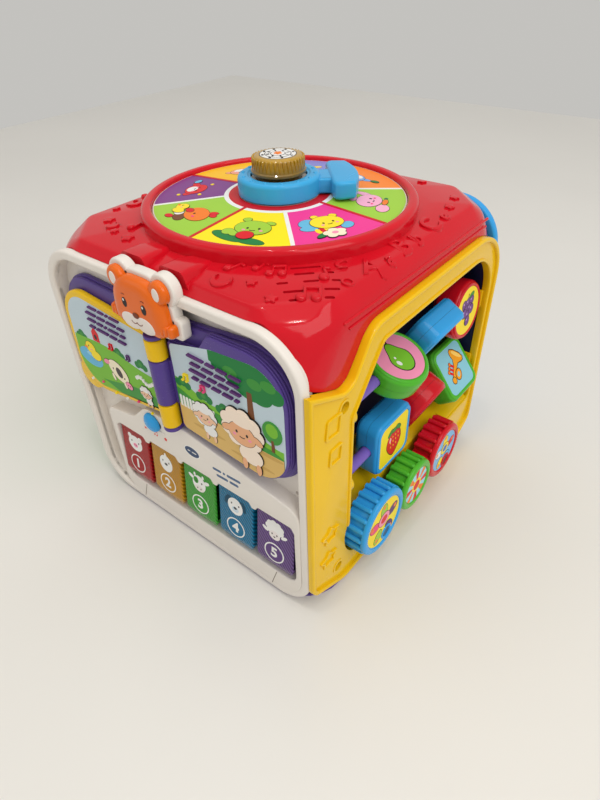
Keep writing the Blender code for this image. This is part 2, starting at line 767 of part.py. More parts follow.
def make_keys():
    key_top = KEY_PIVOT_Z + 3
    back = [(-114, KEY_BOTTOM), (-114, key_top)]
    face = [(-129.8, key_top), (-129.9, 94), (-135.5, 42), (-133.5, 34), (-128, KEY_BOTTOM)]
    for number in range(1, KEY_COUNT + 1):
        x = FIRST_KEY_X + (number - 1) * KEY_PITCH
        key = slab(back + face, x - KEY_WIDTH / 2, x + KEY_WIDTH / 2, "X")
        bevel = key.modifiers.new("edges", "BEVEL")
        bevel.width = 2.0 * MM
        bevel.segments = 1
        bevel.limit_method = "ANGLE"
        bevel.angle_limit = math.radians(60)
        key = baked(key)
        cut(key, drum(PIN_BORE, x - 20, x + 20, "X", (KEY_PIVOT_Y, KEY_PIVOT_Z), 12))
        keep(key, f"key_{number}", KEY_COLOURS[number - 1], 0.15, origin=(x, KEY_PIVOT_Y, KEY_PIVOT_Z))
    rod = drum(PIN_RADIUS, FIRST_KEY_X - 23, FIRST_KEY_X + 4 * KEY_PITCH + 22, "X", (KEY_PIVOT_Y, KEY_PIVOT_Z), 12)
    keep(rod, "key_pivot_rod", STEEL, 0.3, 1.0)
    keep(block((-90, -106, 32), (116, -104.4, 70)), "key_switch_board", BOARD, 0.5)


def make_mode_switch():
    stem = block((SWITCH_X - 3, -134.4, SWITCH_Z - 3), (SWITCH_X + 3, -114, SWITCH_Z + 3))
    head = drum(8.7, -138.6, -133.9, "Y", (SWITCH_X, SWITCH_Z), 20)
    keep(join(head, stem), "mode_switch", BLUE, 0.2, origin=(SWITCH_X, -134, SWITCH_Z))


# ---------------------------------------------------------------- base and inner works

SCREW_SPOTS = ((-60, -92), (60, -92), (-60, 106), (60, 106))


def make_screw(name, x, y, low, length):
    """A pan-head screw that points up from the underside."""
    profile = [(0, low + length), (1.3, low + length - 1.5), (1.3, low + 1.6), (3.1, low + 1.6), (3.1, low), (0, low)]
    screw = turned(profile, 12)
    screw.data.transform(Matrix.Translation(Vector((x, y, 0)) * MM))
    keep(screw, name, STEEL, 0.35, 1.0)


def make_base():
    outline = box_outline(-127, -131, 127, 131, 36)
    base = slab(outline, 0, BASE_PLATE, "Z")
    upstand = slab(box_outline(-113.5, -117.5, 113.5, 125.3, 24, 4), BASE_PLATE - 1, 9.5, "Z")
    well = block((-WELL_HALF_X - 3, WELL_FRONT - 3, 1), (WELL_HALF_X + 3, WELL_REAR + 3, 23))
    boss = block((-6, WELL_REAR + 2, 1), (6, DOOR_REAR + 3, 15))
    join(base, upstand)
    cut(base, slab(box_outline(-110.5, -114.5, 110.5, 122.3, 21, 4), BASE_PLATE, 20, "Z"))
    join(base, well, boss)
    cut(base, block((-WELL_HALF_X, WELL_FRONT, -1), (WELL_HALF_X, WELL_REAR, 20)))
    cut(base, block((-WELL_HALF_X, WELL_REAR - 1, -1), (WELL_HALF_X, DOOR_REAR, BASE_PLATE)))
    cut(base, drum(1.7, 2, 13, "Z", (0, 65), 12))
    for x, y in SCREW_SPOTS:
        cut(base, drum(3.6, -1, 5, "Z", (x, y), 12))
    keep(base, "base_tray", PURPLE, 0.4)
    for number, (x, y) in enumerate(SCREW_SPOTS, 1):
        make_screw(f"base_screw_{number}", x, y, 0.5, 15)
        post = drum(5, BASE_PLATE + 0.6, 250, "Z", (x, y), 12)
        cut(post, drum(1.7, 0, 18, "Z", (x, y), 12))
        keep(post, f"screw_post_{number}", RED, 0.5)


def make_battery_parts():
    door = block((-WELL_HALF_X + GAP, WELL_FRONT + GAP, 0.3), (WELL_HALF_X - GAP, DOOR_REAR - GAP, BASE_PLATE - GAP))
    cut(door, drum(3.6, -1, 5, "Z", (0, 65), 12))
    keep(door, "battery_door", PURPLE, 0.4)
    make_screw("battery_door_screw", 0, 65, 0.5, 10)
    for number, y in ((1, 32.8), (2, 49.2)):
        cell = drum(BATTERY_RADIUS, -BATTERY_LENGTH / 2, BATTERY_LENGTH / 2, "X", (y, 10.4), 20)
        keep(cell, f"battery_{number}", (0.05, 0.05, 0.06), 0.3, 0.5)
    for name, side in (("left", -1), ("right", 1)):
        xs = sorted((side * 26.2, side * 27.0))
        plate = block((xs[0], WELL_FRONT + 1, 4), (xs[1], WELL_REAR - 1, 17))
        keep(plate, f"battery_contact_{name}", STEEL, 0.3, 1.0)


def make_electronics():
    keep(block((-55, -103, 80), (50, -101.4, 190)), "main_board", BOARD, 0.5)
    profile = [(19, 246), (19, 243), (9, 236), (9, 228), (0, 228)]
    speaker = turned([(0, 246)] + profile, 28)
    speaker.data.transform(Matrix.Translation(Vector((84, -74, 0)) * MM))
    keep(speaker, "speaker", (0.03, 0.03, 0.03), 0.5)


def make_panel_screws():
    for name, (y, z) in zip(("upper", "lower"), SCREW_HOLES):
        profile = [(0, SIDE_INNER + 2), (3.4, SIDE_INNER + 2), (3.4, SIDE_INNER), (1.3, SIDE_INNER), (1.3, 106), (0, 106)]
        screw = turned(profile, 14)
        screw.data.transform(Matrix.Translation(Vector((0, y, z)) * MM) @ Matrix.Rotation(math.pi / 2, 4, "Y"))
        keep(screw, f"panel_screw_{name}", STEEL, 0.35, 1.0)


clear_scene()
cube = new_collection("activity_cube")
tools = new_collection("cutters")
make_top_cap()
make_front_panel()
make_back_panel()
make_left_panel()
make_right_panel()
make_bay_liner()
make_rods()
make_blocks()
make_gears()
make_dial()
make_pointer()
make_light_button()
make_button_spring()
make_bear()
make_book()
make_keys()
make_mode_switch()
make_base()
make_battery_parts()
make_electronics()
make_panel_screws()
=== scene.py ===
import math

import bmesh
import bpy
from mathutils import Matrix, Vector
from mathutils.geometry import tessellate_polygon


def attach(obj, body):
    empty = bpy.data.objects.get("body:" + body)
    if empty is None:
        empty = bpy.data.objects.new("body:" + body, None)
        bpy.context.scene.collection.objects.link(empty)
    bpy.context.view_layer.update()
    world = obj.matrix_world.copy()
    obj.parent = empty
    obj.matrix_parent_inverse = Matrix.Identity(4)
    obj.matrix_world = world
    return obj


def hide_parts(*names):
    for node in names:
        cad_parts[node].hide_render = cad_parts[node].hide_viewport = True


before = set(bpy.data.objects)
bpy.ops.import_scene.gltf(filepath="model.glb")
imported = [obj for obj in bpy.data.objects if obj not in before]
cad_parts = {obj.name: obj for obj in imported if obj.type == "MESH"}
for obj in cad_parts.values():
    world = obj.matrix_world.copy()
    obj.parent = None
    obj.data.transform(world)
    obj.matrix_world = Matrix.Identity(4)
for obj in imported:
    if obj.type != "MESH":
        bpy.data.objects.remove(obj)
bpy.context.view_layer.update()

MM = 0.001
BODY = "cube_body"

# Sizes in millimetres, in the frame's own axes: +Z up, the book faces -Y and the gears face +X.
HALF_WIDTH = 125.0
HALF_DEPTH = 133.5
PANEL_BOTTOM = 3.0
FRONT_TOP = 249.0
SIDE_TOP = 233.0
RIM_DEPTH = 7.5
RIM_WIDTH = 7.5
RECESS_FLOOR = -121.5
SIDE_INNER = 122.0
SIDE_FACE = 127.5
SIDE_LIP = 130.0
RING_OUTER = 103.0
RING_INNER = 94.9
RING_TOP = 269.0
DISC_RADIUS = 94.6
DISC_EDGE = 266.0
DISC_CROWN = 269.6
CROWN_RADIUS = 36.0
HUB_RADIUS = 30.6
HUB_BOTTOM = 270.2
HUB_TOP = 284.0
ARM_ANGLE = math.radians(43)
BUTTON_SEAT = 285.2
SPINE_X = 1.0
SPINE_Y = -136.0
BARREL_RADIUS = 7.4
LEAF_BACK = -128.6
LEAF_FRONT = -133.9
PAD_BACK = -121.8
PAD_FRONT = -128.2
KEY_PITCH = 40.0
KEY_WIDTH = 36.0
FIRST_KEY_X = -67.0
KEY_PIVOT_Z = 97.5
KEY_BOTTOM = 30.0
VALANCE_EDGE = 93.0
SWITCH_X = -29.0
SWITCH_Z = 121.0
BAY_FRONT = -85.0
BAY_REAR = 122.0
BAY_RIDGE = 58.0
BAY_CEILING = 214.0
ROD_X = 113.0
ROD_HEIGHTS = {"upper": 165.5, "lower": 99.5}
BLOCK_SIZE = 51.0
BLOCK_THICK = 22.0
GEAR_MODULE = 2.98
GEAR_BACK = 129.5
GEAR_FACE = 143.5
POCKET_FLOOR = 117.5
SCREW_HOLES = ((-96.0, 187.0), (-99.0, 26.0))

RED = (0.66, 0.007, 0.018)
WHITE = (0.80, 0.75, 0.69)
YELLOW = (0.90, 0.56, 0.006)
BLUE = (0.035, 0.37, 0.82)
SKY = (0.05, 0.42, 0.80)
GREEN = (0.085, 0.48, 0.03)
PURPLE = (0.10, 0.058, 0.29)
LILAC = (0.21, 0.125, 0.52)
ORANGE = (0.84, 0.15, 0.008)
NAVY = (0.006, 0.010, 0.045)
INK = (0.018, 0.012, 0.012)
SNOW = (0.86, 0.86, 0.84)
SHEEN = 0.17


# ---------------------------------------------------------------- shader maths


class Value:
    """A shader socket that can be added, multiplied and so on: each operator adds a Math node."""

    def __init__(self, tree, socket):
        self.tree = tree
        self.socket = socket

    def math(self, operation, first, second):
        node = self.tree.nodes.new("ShaderNodeMath")
        node.operation = operation
        for slot, value in enumerate((first, second)):
            if isinstance(value, Value):
                self.tree.links.new(value.socket, node.inputs[slot])
            else:
                node.inputs[slot].default_value = value
        return Value(self.tree, node.outputs[0])

    def __add__(self, other):
        return self.math("ADD", self, other)

    def __radd__(self, other):
        return self.math("ADD", other, self)

    def __sub__(self, other):
        return self.math("SUBTRACT", self, other)

    def __rsub__(self, other):
        return self.math("SUBTRACT", other, self)

    def __mul__(self, other):
        return self.math("MULTIPLY", self, other)

    def __rmul__(self, other):
        return self.math("MULTIPLY", other, self)

    def __truediv__(self, other):
        return self.math("DIVIDE", self, other)

    def above(self, edge):
        return self.math("GREATER_THAN", self, edge)

    def below(self, edge):
        return self.math("LESS_THAN", self, edge)

    def sine(self):
        return self.math("SINE", self, 0.0)

    def size(self):
        return self.math("ABSOLUTE", self, 0.0)


class Finish:
    """One material being built: node() makes any node from its type, its settings and its sockets' values."""

    def __init__(self, name):
        self.material = bpy.data.materials.new(name)
        self.material.use_nodes = True
        self.tree = self.material.node_tree
        self.shader = self.tree.nodes["Principled BSDF"]

    def node(self, kind, settings=None, output=0, **sockets):
        node = self.tree.nodes.new("ShaderNode" + kind)
        for key, value in (settings or {}).items():
            setattr(node, key, value)
        for key, value in sockets.items():
            self.feed(node.inputs[key.replace("_", " ")], value)
        return Value(self.tree, node.outputs[output])

    def feed(self, socket, value):
        if isinstance(value, Value):
            self.tree.links.new(value.socket, socket)
        else:
            socket.default_value = value

    def set(self, **sockets):
        for key, value in sockets.items():
            self.feed(self.shader.inputs[key.replace("_", " ")], value)

    def place(self):
        return self.node("TexCoord", output=3)

    def noise(self, scale, detail=2.0, vector=None):
        return self.node("TexNoise", Scale=scale, Detail=detail, Vector=vector or self.place())

    def tint(self, low, high, amount):
        """A mix of two colours by a 0 to 1 value."""
        node = self.tree.nodes.new("ShaderNodeMix")
        node.data_type = "RGBA"
        self.feed(node.inputs[0], amount)
        self.feed(node.inputs[6], low if isinstance(low, Value) else (*low, 1.0))
        self.feed(node.inputs[7], high if isinstance(high, Value) else (*high, 1.0))
        return Value(self.tree, node.outputs[2])

    def relief(self, height, distance, strength=1.0):
        return self.node("Bump", Strength=strength, Distance=distance, Height=height)


finishes = {}


def shade(colour, factor):
    return tuple(min(channel * factor, 1.0) for channel in colour)


def moulded(name, colour, roughness=0.22, grain=0.00002, coat=0.1, deep=0.84):
    """Injection-moulded plastic: slow tone drift, a faint orange-peel skin, haze and fine rub marks."""
    if name in finishes:
        return finishes[name]
    finish = Finish(name)
    drift = finish.noise(14.0, 3.0)
    haze = finish.noise(55.0, 4.0)
    peel = finish.noise(420.0, 2.0)
    rubs = finish.noise(900.0, 1.0, finish.node("Mapping", Vector=finish.place(), Scale=(1.0, 0.06, 1.0)))
    finish.set(Base_Color=finish.tint(shade(colour, deep), shade(colour, 1.06), drift))
    finish.set(Roughness=roughness - 0.05 + haze * 0.09 + rubs.above(0.68) * 0.05)
    finish.set(Normal=finish.relief(peel, grain))
    finish.set(Coat_Weight=coat, Coat_Roughness=0.06, IOR=1.5, Specular_IOR_Level=SHEEN)
    finishes[name] = finish.material
    return finish.material


def textured(name, colour, roughness=0.5, grain=0.00008, scale=900.0):
    """Satin plastic with a fine spark-eroded grain."""
    if name in finishes:
        return finishes[name]
    finish = Finish(name)
    drift = finish.noise(9.0, 3.0)
    pits = finish.noise(scale, 2.0)
    finish.set(Base_Color=finish.tint(shade(colour, 0.9), shade(colour, 1.05), drift))
    finish.set(Roughness=roughness - 0.06 + pits * 0.12, Specular_IOR_Level=SHEEN)
    finish.set(Normal=finish.relief(pits, grain))
    finishes[name] = finish.material
    return finish.material


def printed():
    """Glossy printed sheet: its ink is the mesh's own colour attribute, with a fine halftone and haze."""
    if "printed_sheet" in finishes:
        return finishes["printed_sheet"]
    finish = Finish("printed_sheet")
    ink = finish.node("Attribute", {"attribute_name": "ink"})
    dots = finish.noise(2600.0, 1.0)
    haze = finish.noise(40.0, 3.0)
    lit = finish.node("HueSaturation", Color=ink, Value=0.95 + dots * 0.09)
    finish.set(Base_Color=lit, Roughness=0.28 + haze * 0.14, Specular_IOR_Level=SHEEN)
    finish.set(Normal=finish.relief(haze, 0.00006))
    finishes["printed_sheet"] = finish.material
    return finish.material


def brushed(name, colour=(0.62, 0.62, 0.64)):
    if name in finishes:
        return finishes[name]
    finish = Finish(name)
    streaks = finish.noise(700.0, 2.0, finish.node("Mapping", Vector=finish.place(), Scale=(1.0, 1.0, 0.08)))
    finish.set(Base_Color=finish.tint(shade(colour, 0.8), colour, streaks), Metallic=1.0)
    finish.set(Roughness=0.22 + streaks * 0.18, Normal=finish.relief(streaks, 0.00001))
    finishes[name] = finish.material
    return finish.material


# ---------------------------------------------------------------- shapes


def arc(x, y, radius, start, end, steps):
    """Points along an arc, with the angles in degrees."""
    points = []
    for k in range(steps + 1):
        angle = math.radians(start + (end - start) * k / steps)
        points.append((x + radius * math.cos(angle), y + radius * math.sin(angle)))
    return points


def rounded(corners, steps=12):
    """A closed outline through (x, y, radius) corners, each rounded by a true arc."""
    outline = []
    for i, (x, y, radius) in enumerate(corners):
        here = Vector((x, y))
        if radius == 0:
            outline.append((x, y))
            continue
        back = (Vector(corners[i - 1][:2]) - here).normalized()
        ahead = (Vector(corners[(i + 1) % len(corners)][:2]) - here).normalized()
        half = back.angle(ahead) / 2
        centre = here + (back + ahead).normalized() * radius / math.sin(half)
        start = here + back * radius / math.tan(half) - centre
        end = here + ahead * radius / math.tan(half) - centre
        first = math.degrees(math.atan2(start.y, start.x))
        turn = (math.degrees(math.atan2(end.y, end.x)) - first + 180) % 360 - 180
        outline += arc(centre.x, centre.y, radius, first, first + turn, steps)
    return outline


def box_outline(left, bottom, right, top, radius, steps=12):
    corners = ((left, bottom, radius), (right, bottom, radius), (right, top, radius), (left, top, radius))
    return rounded(corners, steps)


def inset(outline, distance):
    """A counterclockwise outline moved inwards by a distance; a negative one moves it outwards."""
    moved = []
    for i, point in enumerate(outline):
        here = Vector(point)
        before = (here - Vector(outline[i - 1])).normalized()
        after = (Vector(outline[(i + 1) % len(outline)]) - here).normalized()
        normal = Vector((-before.y - after.y, before.x + after.x)).normalized()
        slant = max(normal.dot(Vector((-before.y, before.x))), 0.5)
        moved.append(tuple(here + normal * distance / slant))
    return moved


def raw(mesh, name="shape"):
    piece = bpy.data.objects.new(name, mesh)
    bpy.context.scene.collection.objects.link(piece)
    return piece


def real(piece):
    """The same shape with its modifiers made real, as a plain mesh at the origin."""
    bpy.context.view_layer.update()
    depsgraph = bpy.context.evaluated_depsgraph_get()
    mesh = bpy.data.meshes.new_from_object(piece.evaluated_get(depsgraph))
    mesh.transform(piece.matrix_world)
    bpy.data.objects.remove(piece)
    return raw(mesh)


def axis_turn(axis, middle=0.0):
    """The turn that stands an outline's plane square to an axis, as (x, z) for Y and (y, z) for X."""
    if axis == "X":
        return Matrix(((0, 0, 1, middle), (1, 0, 0, 0), (0, 1, 0, 0), (0, 0, 0, 1)))
    if axis == "Y":
        return Matrix(((1, 0, 0, 0), (0, 0, -1, middle), (0, 1, 0, 0), (0, 0, 0, 1)))
    return Matrix.Translation((0, 0, middle))


def slab(outlines, low, high, axis, edge=0.0, bend=3):
    """Flat outlines, holes included, made solid between two planes, with rounded edges."""
    if isinstance(outlines[0][0], (int, float)):
        outlines = [outlines]
    curve = bpy.data.curves.new("slab", "CURVE")
    curve.dimensions = "2D"
    curve.fill_mode = "BOTH"
    curve.extrude = ((high - low) / 2 - edge) * MM
    curve.bevel_depth = edge * MM
    curve.bevel_resolution = bend
    curve.offset = -edge * MM
    for outline in outlines:
        spline = curve.splines.new("POLY")
        spline.points.add(len(outline) - 1)
        for point, (u, v) in zip(spline.points, outline):
            point.co = (u * MM, v * MM, 0, 1)
        spline.use_cyclic_u = True
    piece = real(raw_curve(curve))
    clean(piece)
    piece.data.transform(axis_turn(axis, (low + high) / 2 * MM))
    return piece


def raw_curve(curve):
    piece = bpy.data.objects.new("curve", curve)
    bpy.context.scene.collection.objects.link(piece)
    return piece


def clean(piece, distance=2e-6):
    body = bmesh.new()
    body.from_mesh(piece.data)
    bmesh.ops.remove_doubles(body, verts=body.verts, dist=distance)
    bmesh.ops.recalc_face_normals(body, faces=body.faces)
    body.to_mesh(piece.data)
    body.free()
    return piece


def block(low, high, edge=0.0, segments=3):
    body = bmesh.new()
    bmesh.ops.create_cube(body, size=MM)
    size = Vector(high) - Vector(low)
    centre = (Vector(high) + Vector(low)) / 2 * MM
    bmesh.ops.transform(body, matrix=Matrix.Translation(centre) @ Matrix.Diagonal((*size, 1)), verts=body.verts)
    if edge:
        bmesh.ops.bevel(body, geom=body.edges, offset=edge * MM, segments=segments, affect="EDGES", profile=0.5)
    mesh = bpy.data.meshes.new("block")
    body.to_mesh(mesh)
    body.free()
    return raw(mesh)


def turned(profile, steps=96, centre=(0, 0), axis="Z"):
    """A (radius, height) profile swept round an axis; it closes on the axis or on itself."""
    body = bmesh.new()
    closed = profile[0][0] > 0 or profile[-1][0] > 0
    rings = []
    for radius, height in profile:
        if radius == 0:
            rings.append([body.verts.new((0, 0, height * MM))] * steps)
            continue
        ring = []
        for k in range(steps):
            angle = 2 * math.pi * k / steps
            ring.append(body.verts.new((radius * math.cos(angle) * MM, radius * math.sin(angle) * MM, height * MM)))
        rings.append(ring)
    pairs = list(zip(rings, rings[1:]))
    if closed:
        pairs.append((rings[-1], rings[0]))
    for upper, lower in pairs:
        for k in range(steps):
            corners = [upper[k], upper[(k + 1) % steps], lower[(k + 1) % steps], lower[k]]
            corners = list(dict.fromkeys(corners))
            if len(corners) > 2:
                body.faces.new(corners)
    bmesh.ops.recalc_face_normals(body, faces=body.faces)
    mesh = bpy.data.meshes.new("turned")
    body.to_mesh(mesh)
    body.free()
    if axis == "X":
        mesh.transform(Matrix(((0, 0, 1, 0), (1, 0, 0, centre[0] * MM), (0, 1, 0, centre[1] * MM), (0, 0, 0, 1))))
    elif axis == "Y":
        mesh.transform(Matrix(((1, 0, 0, centre[0] * MM), (0, 0, -1, 0), (0, 1, 0, centre[1] * MM), (0, 0, 0, 1))))
    else:
        mesh.transform(Matrix.Translation((centre[0] * MM, centre[1] * MM, 0)))
    return raw(mesh)


def drum(radius, low, high, axis="Z", centre=(0, 0), edge=0.0, steps=64):
    """A cylinder with rounded rims. Along Y its heights run towards -Y, so they are turned over here."""
    if axis == "Y":
        low, high = -high, -low
    profile = [(0, high)]
    if edge:
        profile += [(r, z) for r, z in arc(radius - edge, high - edge, edge, 90, 0, 5)]
        profile += [(r, z) for r, z in arc(radius - edge, low + edge, edge, 0, -90, 5)]
    else:
        profile += [(radius, high), (radius, low)]
    profile.append((0, low))
    return turned(profile, steps, centre, axis)


def loft(sections):
    body = bmesh.new()
    rings = []
    for section in sections:
        rings.append([body.verts.new(Vector(point) * MM) for point in section])
    for lower, upper in zip(rings, rings[1:]):
        for i in range(len(lower)):
            body.faces.new((lower[i - 1], lower[i], upper[i], upper[i - 1]))
    body.faces.new(rings[-1])
    body.faces.new(list(reversed(rings[0])))
    bmesh.ops.recalc_face_normals(body, faces=body.faces)
    mesh = bpy.data.meshes.new("loft")
    body.to_mesh(mesh)
    body.free()
    return raw(mesh)


def combine(target, operation, pieces):
    for piece in pieces:
        modifier = target.modifiers.new(operation.lower(), "BOOLEAN")
        modifier.operation = operation
        modifier.solver = "EXACT"
        modifier.object = piece
    result = real(target)
    for piece in pieces:
        bpy.data.objects.remove(piece)
    return result


def cut(target, *pieces):
    return combine(target, "DIFFERENCE", pieces)


def join(target, *pieces):
    return combine(target, "UNION", pieces)


def together(pieces):
    """Several meshes in one object, each still a closed shape of its own."""
    body = bmesh.new()
    for piece in pieces:
        body.from_mesh(piece.data)
        bpy.data.objects.remove(piece)
    mesh = bpy.data.meshes.new("together")
    body.to_mesh(mesh)
    body.free()
    return raw(mesh)


def softened(piece, width=0.8, segments=3, angle=35):
    """Rounds every edge sharper than an angle."""
    bevel = piece.modifiers.new("edges", "BEVEL")
    bevel.width = width * MM
    bevel.segments = segments
    bevel.limit_method = "ANGLE"
    bevel.angle_limit = math.radians(angle)
    bevel.harden_normals = False
    return real(piece)


def put(piece, name, body, material, stands_for=(), sharp=32):
    """Names a finished piece, gives it its material, and says what it rides on and stands for."""
    piece.name = name
    piece.data.name = name
    piece.data.materials.clear()
    piece.data.materials.append(material)
    piece.data.shade_smooth()
    if sharp:
        piece.data.set_sharp_from_angle(angle=math.radians(sharp))
    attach(piece, body)
    if stands_for:
        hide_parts(*stands_for)
    return piece


# ---------------------------------------------------------------- repeated ribs, by Geometry Nodes


def rib_tree():
    """A ring of round-ended ribs that stand along Z, spaced evenly from a first angle."""
    tree = bpy.data.node_groups.new("rib_ring", "GeometryNodeTree")
    inputs = (
        ("Count", "NodeSocketInt"),
        ("Ring Radius", "NodeSocketFloat"),
        ("Rib Radius", "NodeSocketFloat"),
        ("Rib Length", "NodeSocketFloat"),
        ("First Angle", "NodeSocketFloat"),
        ("Material", "NodeSocketMaterial"),
    )
    for label, kind in inputs:
        tree.interface.new_socket(name=label, in_out="INPUT", socket_type=kind)
    tree.interface.new_socket(name="Geometry", in_out="OUTPUT", socket_type="NodeSocketGeometry")
    given = tree.nodes.new("NodeGroupInput")

    def add(kind, **links):
        node = tree.nodes.new("GeometryNode" + kind)
        for label, source in links.items():
            socket = node.inputs[label.replace("_", " ")]
            if isinstance(source, bpy.types.NodeSocket):
                tree.links.new(source, socket)
            else:
                socket.default_value = source
        return node

    ring = add("MeshCircle", Vertices=given.outputs["Count"], Radius=given.outputs["Ring Radius"])
    rod = add("MeshCylinder", Vertices=14, Radius=given.outputs["Rib Radius"], Depth=given.outputs["Rib Length"])
    ball = add("MeshUVSphere", Segments=14, Rings=8, Radius=given.outputs["Rib Radius"])
    half = tree.nodes.new("ShaderNodeMath")
    half.operation = "MULTIPLY"
    half.inputs[1].default_value = 0.5
    tree.links.new(given.outputs["Rib Length"], half.inputs[0])
    lift = tree.nodes.new("ShaderNodeCombineXYZ")
    tree.links.new(half.outputs[0], lift.inputs["Z"])
    top = add("Transform", Geometry=ball.outputs[0], Translation=lift.outputs[0])
    rib = tree.nodes.new("GeometryNodeJoinGeometry")
    tree.links.new(rod.outputs["Mesh"], rib.inputs[0])
    tree.links.new(top.outputs[0], rib.inputs[0])
    placed = add("InstanceOnPoints", Points=ring.outputs[0], Instance=rib.outputs[0])
    spin = tree.nodes.new("ShaderNodeCombineXYZ")
    tree.links.new(given.outputs["First Angle"], spin.inputs["Z"])
    turned_ring = add("Transform", Geometry=placed.outputs[0], Rotation=spin.outputs[0])
    whole = add("RealizeInstances", Geometry=turned_ring.outputs[0])
    dressed = add("SetMaterial", Geometry=whole.outputs[0], Material=given.outputs["Material"])
    out = tree.nodes.new("NodeGroupOutput")
    tree.links.new(dressed.outputs[0], out.inputs[0])
    return tree


def rib_ring(tree, count, ring, rib, length, first=0.0, axis="Z", centre=(0, 0), middle=0.0, material=None):
    holder = raw(bpy.data.meshes.new("ribs"))
    modifier = holder.modifiers.new("ribs", "NODES")
    modifier.node_group = tree
    values = {
        "Count": count,
        "Ring Radius": ring * MM,
        "Rib Radius": rib * MM,
        "Rib Length": length * MM,
        "First Angle": first,
        "Material": material,
    }
    for item in tree.interface.items_tree:
        if item.in_out == "INPUT":
            modifier[item.identifier] = values[item.name]
    ribs = real(holder)
    ribs.data.transform(axis_turn(axis, middle * MM))
    ribs.data.transform(Matrix.Translation(Vector((0, *centre) if axis == "X" else (*centre, 0)) * MM))
    return ribs


# ---------------------------------------------------------------- printed art


def ink(red, green, blue):
    """A linear colour from its usual 0 to 255 numbers."""
    return tuple(((c / 255 + 0.055) / 1.055) ** 2.4 for c in (red, green, blue))


class Picture:
    """Printed art in flat millimetres. Each shape is a thin closed tile, a hair higher than the one before."""

    def __init__(self, place, step=0.014):
        self.place = place
        self.step = step
        self.height = 0.0
        self.tiles = []

    def tile(self, outline, colour, base=-0.04):
        self.height += self.step
        self.tiles.append((list(outline), colour, base, self.height))

    def blob(self, u, v, ru, rv, colour, turn=0.0, edge=0.0, steps=26):
        if edge:
            self.blob(u, v, ru + edge, rv + edge, INK, turn, 0.0, steps)
        cosine = math.cos(math.radians(turn))
        sine = math.sin(math.radians(turn))
        outline = []
        for k in range(steps):
            angle = 2 * math.pi * k / steps
            a = ru * math.cos(angle)
            b = rv * math.sin(angle)
            outline.append((u + a * cosine - b * sine, v + a * sine + b * cosine))
        self.tile(outline, colour)

    def figure(self, parts, u, v, scale=1.0, edge=0.35, lean=0.0):
        """Blobs given as (u, v, ru, rv, turn, colour): their dark outlines first, then their fills."""
        cosine = math.cos(math.radians(lean))
        sine = math.sin(math.radians(lean))
        placed = []
        for du, dv, ru, rv, turn, colour in parts:
            at = (u + (du * cosine - dv * sine) * scale, v + (du * sine + dv * cosine) * scale)
            placed.append((*at, ru * scale, rv * scale, turn + lean, colour))
        for a, b, ru, rv, turn, _ in placed:
            if ru > 0.9 * scale and edge:
                self.blob(a, b, ru + edge, rv + edge, INK, turn)
        for a, b, ru, rv, turn, colour in placed:
            self.blob(a, b, ru, rv, colour, turn)

    def stroke(self, points, width, colour):
        """A line of even width through points."""
        left, right = [], []
        for i, point in enumerate(points):
            here = Vector(point)
            ahead = Vector(points[min(i + 1, len(points) - 1)]) - Vector(points[max(i - 1, 0)])
            side = Vector((-ahead.y, ahead.x)).normalized() * width / 2
            left.append(tuple(here + side))
            right.append(tuple(here - side))
        self.tile(left + right[::-1], colour)

    def lines_of_words(self, u, v, rows, pitch, size, colour, lean=0.0, drop=0.0):
        """Rows of plain bars that stand for words, centred on u."""
        cosine = math.cos(math.radians(lean))
        sine = math.sin(math.radians(lean))
        for row, widths in enumerate(rows):
            total = sum(widths) + 1.6 * (len(widths) - 1)
            x = -total / 2
            y = -row * pitch
            for width in widths:
                bar = box_outline(x, y - size / 2, x + width, y + size / 2, size * 0.45, 3)
                self.tile([(u + a * cosine - b * sine, v + a * sine + b * cosine + drop * a) for a, b in bar], colour)
                x += width + 1.6

    def finish(self, name, body, slot=None, stands_for=(), material=None):
        build = bmesh.new()
        layer = build.loops.layers.float_color.new("ink")
        for outline, colour, base, height in self.tiles:
            top = [build.verts.new(Vector(self.place(u, v, height)) * MM) for u, v in outline]
            bottom = [build.verts.new(Vector(self.place(u, v, base)) * MM) for u, v in outline]
            faces = []
            for a, b, c in tessellate_polygon([[Vector((u, v, 0)) for u, v in outline]]):
                faces.append(build.faces.new((top[a], top[b], top[c])))
                faces.append(build.faces.new((bottom[c], bottom[b], bottom[a])))
            for i in range(len(outline)):
                faces.append(build.faces.new((top[i - 1], top[i], bottom[i], bottom[i - 1])))
            for face in faces:
                for loop in face.loops:
                    loop[layer] = (*colour, 1.0)
        bmesh.ops.recalc_face_normals(build, faces=build.faces)
        mesh = bpy.data.meshes.new(name)
        build.to_mesh(mesh)
        build.free()
        return put(raw(mesh), name, body, material or printed(), stands_for, sharp=30)


def band(outline, low, high, steps=60):
    """The part of an outline between two curves of u, as a polygon."""
    left = min(u for u, _ in outline)
    right = max(u for u, _ in outline)
    floor, roof = [], []
    for k in range(steps + 1):
        u = left + (right - left) * (0.001 + 0.998 * k / steps)
        crossings = []
        for i, (u2, v2) in enumerate(outline):
            u1, v1 = outline[i - 1]
            if (u1 - u) * (u2 - u) <= 0 and u1 != u2:
                crossings.append(v1 + (v2 - v1) * (u - u1) / (u2 - u1))
        bottom = max(min(crossings), low(u))
        top = min(max(crossings), high(u))
        if top > bottom:
            floor.append((u, bottom))
            roof.append((u, top))
    return floor + roof[::-1]


def star_outline(u, v, radius, waist=0.5, points=5, turn=90.0):
    outline = []
    for k in range(points * 2):
        angle = math.radians(turn + 180 * k / points)
        reach = radius if k % 2 == 0 else radius * waist
        outline.append((u + reach * math.cos(angle), v + reach * math.sin(angle)))
    return outline


